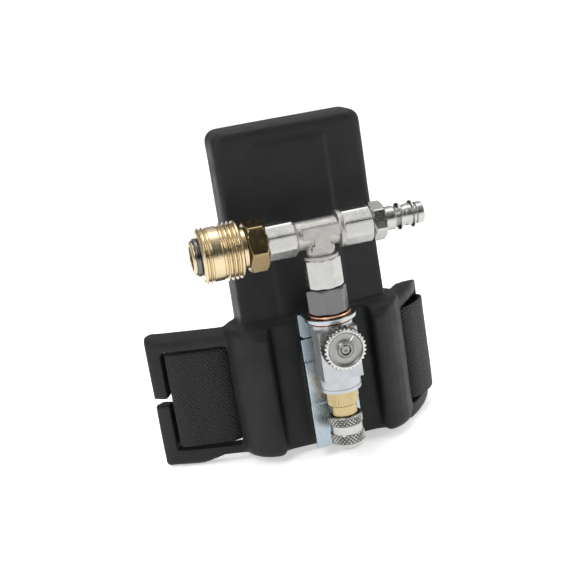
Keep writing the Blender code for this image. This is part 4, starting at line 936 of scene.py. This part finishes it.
def ribbon(name, route, width, thick, sag=((0, 0), (1, 0)), middle=BELT_Z, wave=0.12, closed=False):
    """A woven strap on edge along a plan route: a flat section with soft selvedges and a slight ripple.
    Its UVs are millimetres across and along."""
    levels = [-1, -0.992, -0.97, -0.93] + [k / 8 for k in range(-7, 8)] + [0.93, 0.97, 0.992, 1]
    swell = [0.45, 0.8, 1.0, 1.0] + [1.0] * 15 + [1.0, 1.0, 0.8, 0.45]
    mesh = bpy.data.meshes.new(name)
    vertices, where = [], []
    travelled = 0.0
    for i, here in enumerate(route):
        if i:
            travelled += (here - route[i - 1]).length
        if closed:
            along = (route[(i + 1) % len(route)] - route[i - 1]).normalized()
        else:
            along = (route[min(i + 1, len(route) - 1)] - route[max(i - 1, 0)]).normalized()
        across = Vector((-along.y, along.x))
        drop = interpolate(sag, travelled)
        for side in (1, -1):
            ordered = range(len(levels)) if side == 1 else range(len(levels) - 1, -1, -1)
            for k in ordered:
                ripple = wave * noise.noise(Vector((travelled * 0.12, levels[k] * 1.6, 3.0)))
                offset = across * (side * thick / 2 * swell[k] + ripple)
                z = middle - drop + levels[k] * width / 2 * (1 if abs(levels[k]) < 1 else 0.998)
                vertices.append(Vector((here.x + offset.x, here.y + offset.y, z)) * MM)
                where.append((levels[k] * width / 2, travelled))
    count = 2 * len(levels)
    faces, uvs = [], []
    rows = len(route)
    for i in range(rows if closed else rows - 1):
        low, high = i * count, ((i + 1) % rows) * count
        end = travelled + (route[0] - route[-1]).length
        for k in range(count):
            j = (k + 1) % count
            faces.append((low + k, low + j, high + j, high + k))
            top = where[high + j][1] if i < rows - 1 else end
            uvs += [where[low + k], where[low + j], (where[high + j][0], top), (where[high + k][0], top)]
    if not closed:
        faces += [tuple(range(count)), tuple(range((rows - 1) * count, rows * count))]
        uvs += [where[k] for k in range(count)] + [where[(rows - 1) * count + k] for k in range(count)]
    mesh.from_pydata(vertices, [], faces)
    layer = mesh.uv_layers.new(name="UVMap")
    layer.data.foreach_set("uv", [value for uv in uvs for value in uv])
    return linked(name, outward(mesh))


BELT_ROUTE = (
    (56.0, 32.8), (52.0, 33.1), (47.0, 33.1), (44.2, 32.4), (43.1, 30.0), (44.2, 27.6), (47.0, 26.9),
    (51.5, 25.3), (54.0, 21.0), (53.8, 15.5), (56.5, 10.6), (61.5, 7.6), (64.2, 4.8), (63.7, 0.7),
    (60.5, -4.4), (56.3, -8.5), (51.8, -11.6), (47.0, -12.4), (42.0, -8.5), (36.0, -3.2), (30.0, -1.4),
    (0.0, -1.4), (-30.0, -1.4), (-36.0, -3.2), (-42.0, -8.5), (-47.0, -12.4), (-54.0, -12.0),
    (-64.0, -9.2), (-70.5, -7.4), (-74.6, -5.0), (-75.3, -1.6), (-73.8, 2.6), (-72.0, 8.2),
)
SLACK_ROUTE = (
    (-71.85, 8.6), (-67.0, 15.5), (-60.0, 21.0), (-52.0, 25.5), (-43.0, 29.0), (-34.0, 30.0),
    (-25.5, 30.0),
)
ROUTE_STEP = 0.8
ROLL_CENTRE = Vector((2.0, 12.4))
ROLL_HALF = 27.0
ROLL_RADIUS = 10.0
ROLL_Z = BELT_Z - BELT_SAG


def make_belt(webbing, elastic, plastic):
    make_webbing(webbing)
    make_slack_run(webbing)
    make_tail_roll(webbing)
    make_keeper_band(elastic)
    finished(refined("buckle_socket", 0.7, 3), plastic, "hip_unit", "buckle_socket")
    finished(refined("buckle_hook", 0.5, 3), plastic, "buckle_hook", "buckle_hook")


def make_webbing(webbing):
    route, length = smooth_route(BELT_ROUTE, ROUTE_STEP)
    belt = ribbon("belt_webbing_shape", route, WEBBING_WIDTH, WEBBING_THICKNESS,
                  ((0, BELT_SAG), (21, BELT_SAG), (38, 0), (400, 0)))
    finished(belt, webbing, "hip_unit", "belt_webbing", sharp=60, weighted=False)


def make_slack_run(webbing):
    """The webbing from the left wing to the buckle's hook."""
    route, length = smooth_route(SLACK_ROUTE, ROUTE_STEP)
    slack = ribbon("belt_slack_run_shape", route, WEBBING_WIDTH, WEBBING_THICKNESS,
                   ((0, 0), (38, BELT_SAG), (90, BELT_SAG)))
    dressed(slack, webbing)
    slack.data.set_sharp_from_angle(angle=math.radians(60))
    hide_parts("belt_slack_run")
    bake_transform(slack)


def make_tail_roll(webbing):
    """The spare webbing, wound flat in five turns."""
    pitch, turns, steps = 1.62, 5, 64
    route = []
    for i in range(int(turns * steps) + 1):
        angle = 2 * math.pi * i / steps
        radius = ROLL_RADIUS - WEBBING_THICKNESS / 2 - 0.05 - pitch * i / steps
        side = 1 if math.cos(angle) >= 0 else -1
        route.append(tuple(round_roll(side, angle, radius)))
    dense, length = smooth_route(route, 0.9)
    roll = ribbon("belt_tail_roll_shape", dense, WEBBING_WIDTH - 0.2, WEBBING_THICKNESS,
                  middle=ROLL_Z, wave=0.0)
    finished(roll, webbing, "buckle_hook", "belt_tail_roll", sharp=60, weighted=False)


def make_keeper_band(elastic):
    """The elastic band that holds the roll shut."""
    route, steps, spacing = [], 32, 1.2
    for start, side in ((-90, 1), (90, -1)):
        for k in range(steps + 1):
            route.append(round_roll(side, math.radians(start + 180 * k / steps), ROLL_RADIUS + 0.8))
    filled = []
    for i, here in enumerate(route):
        after = route[(i + 1) % len(route)]
        parts = max(1, round((after - here).length / spacing))
        filled += [here + (after - here) * k / parts for k in range(parts)]
    band = ribbon("belt_keeper_band_shape", filled, 16.0, 0.95, middle=ROLL_Z, wave=0.0, closed=True)
    finished(band, elastic, "buckle_hook", "belt_keeper_band", sharp=60, weighted=False)


def round_roll(side, angle, radius):
    """A point round the end of the flat roll on one side."""
    reach = side * (ROLL_HALF - ROLL_RADIUS)
    return ROLL_CENTRE + Vector((reach + radius * math.cos(angle), radius * math.sin(angle)))


# ---------------------------------------------------------------- everything

make_camera()
make_floor()
make_lights()
make_world()

pad_black = moulded("pad_foam_skin", (0.0075, 0.0080, 0.0090), rough=(0.46, 0.62), grain=1700.0,
                    depth=0.00012, level=0.30)
buckle_black = moulded("buckle_plastic", (0.012, 0.012, 0.013), rough=(0.30, 0.42), grain=2600.0,
                       depth=0.00006, level=0.5)
webbing_black = woven("webbing_weave", (0.0065, 0.0065, 0.0068), across=1.15, along=2.0, depth=0.00055)
elastic_black = woven("elastic_knit", (0.016, 0.016, 0.017), across=0.8, along=1.0, depth=0.0003)
brass_polished = machined("brass_polished", (0.62, 0.51, 0.33), rough=0.24, lines=0.25, tint=0.06)
brass_brushed = machined("brass_brushed", (0.46, 0.37, 0.20), rough=0.30, lines=0.35, tint=0.10)
bronze_dark = machined("bronze_dark", (0.29, 0.215, 0.115), rough=0.22, lines=0.22, tint=0.06)
nickel_satin = machined("nickel_satin", (0.44, 0.435, 0.42), rough=0.24, lines=0.45, tint=0.10)
knob_face = machined("knob_face", (0.27, 0.268, 0.26), rough=0.30, lines=0.45, tint=0.10)
nickel_bright = machined("nickel_bright", (0.52, 0.515, 0.50), rough=0.22, lines=0.25, tint=0.06)
nickel_knurled = knurled_metal("nickel_knurled", (0.46, 0.455, 0.44), rough=0.26)
nickel_cast = cast("nickel_cast", (0.42, 0.41, 0.39), rough=0.36)
steel_dark = machined("steel_dark", (0.14, 0.14, 0.14), rough=0.26, lines=0.22, tint=0.06)
steel_black = machined("steel_black", (0.06, 0.06, 0.065), rough=0.38, lines=0.20, tint=0.15)
copper = machined("copper_washer", (0.78, 0.43, 0.29), rough=0.27, lines=0.25, tint=0.10)
zinc = plated_sheet("zinc_sheet", (0.40, 0.45, 0.48), rough=0.26)
anodised = satin_metal("anodised_aluminium", (0.44, 0.455, 0.475), rough=0.38, metallic=0.80)
spring_steel = machined("spring_wire", (0.46, 0.46, 0.47), rough=0.28, lines=0.1, tint=0.08)
rubber = moulded("seal_rubber", (0.012, 0.012, 0.012), rough=(0.5, 0.7), grain=3000.0,
                 depth=0.00004, level=0.4)
paint = moulded("index_paint", (0.80, 0.80, 0.78), rough=(0.45, 0.6), grain=3000.0,
                depth=0.00002, level=0.4)

shown_as_built = {"coupler_seal": rubber, "valve_spindle_seal": rubber, "valve_spindle": steel_dark}
for ball in ("coupler_ball_1", "coupler_ball_2", "coupler_ball_3", "coupler_ball_4",
             "lower_ball_1", "lower_ball_2", "lower_ball_3"):
    shown_as_built[ball] = spring_steel
for node, look in shown_as_built.items():
    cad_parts[node].material_slots[0].material = look

make_pad(pad_black)
make_bracket(zinc, steel_black)
make_tee(nickel_cast, nickel_satin)
make_coupler(brass_polished, bronze_dark, steel_dark, brass_brushed)
make_plug(nickel_satin)
make_nipple(steel_dark, copper)
make_valve(anodised, nickel_satin)
make_knob(nickel_bright, knob_face, paint)
make_lower_coupling(brass_brushed, nickel_knurled)
for body, axis in (("coupler_sleeve", 0), ("coupler_poppet", 0), ("lower_sleeve", 2), ("lower_poppet", 2)):
    make_spring(spring_steel, body, axis)
make_belt(webbing_black, elastic_black, buckle_black)
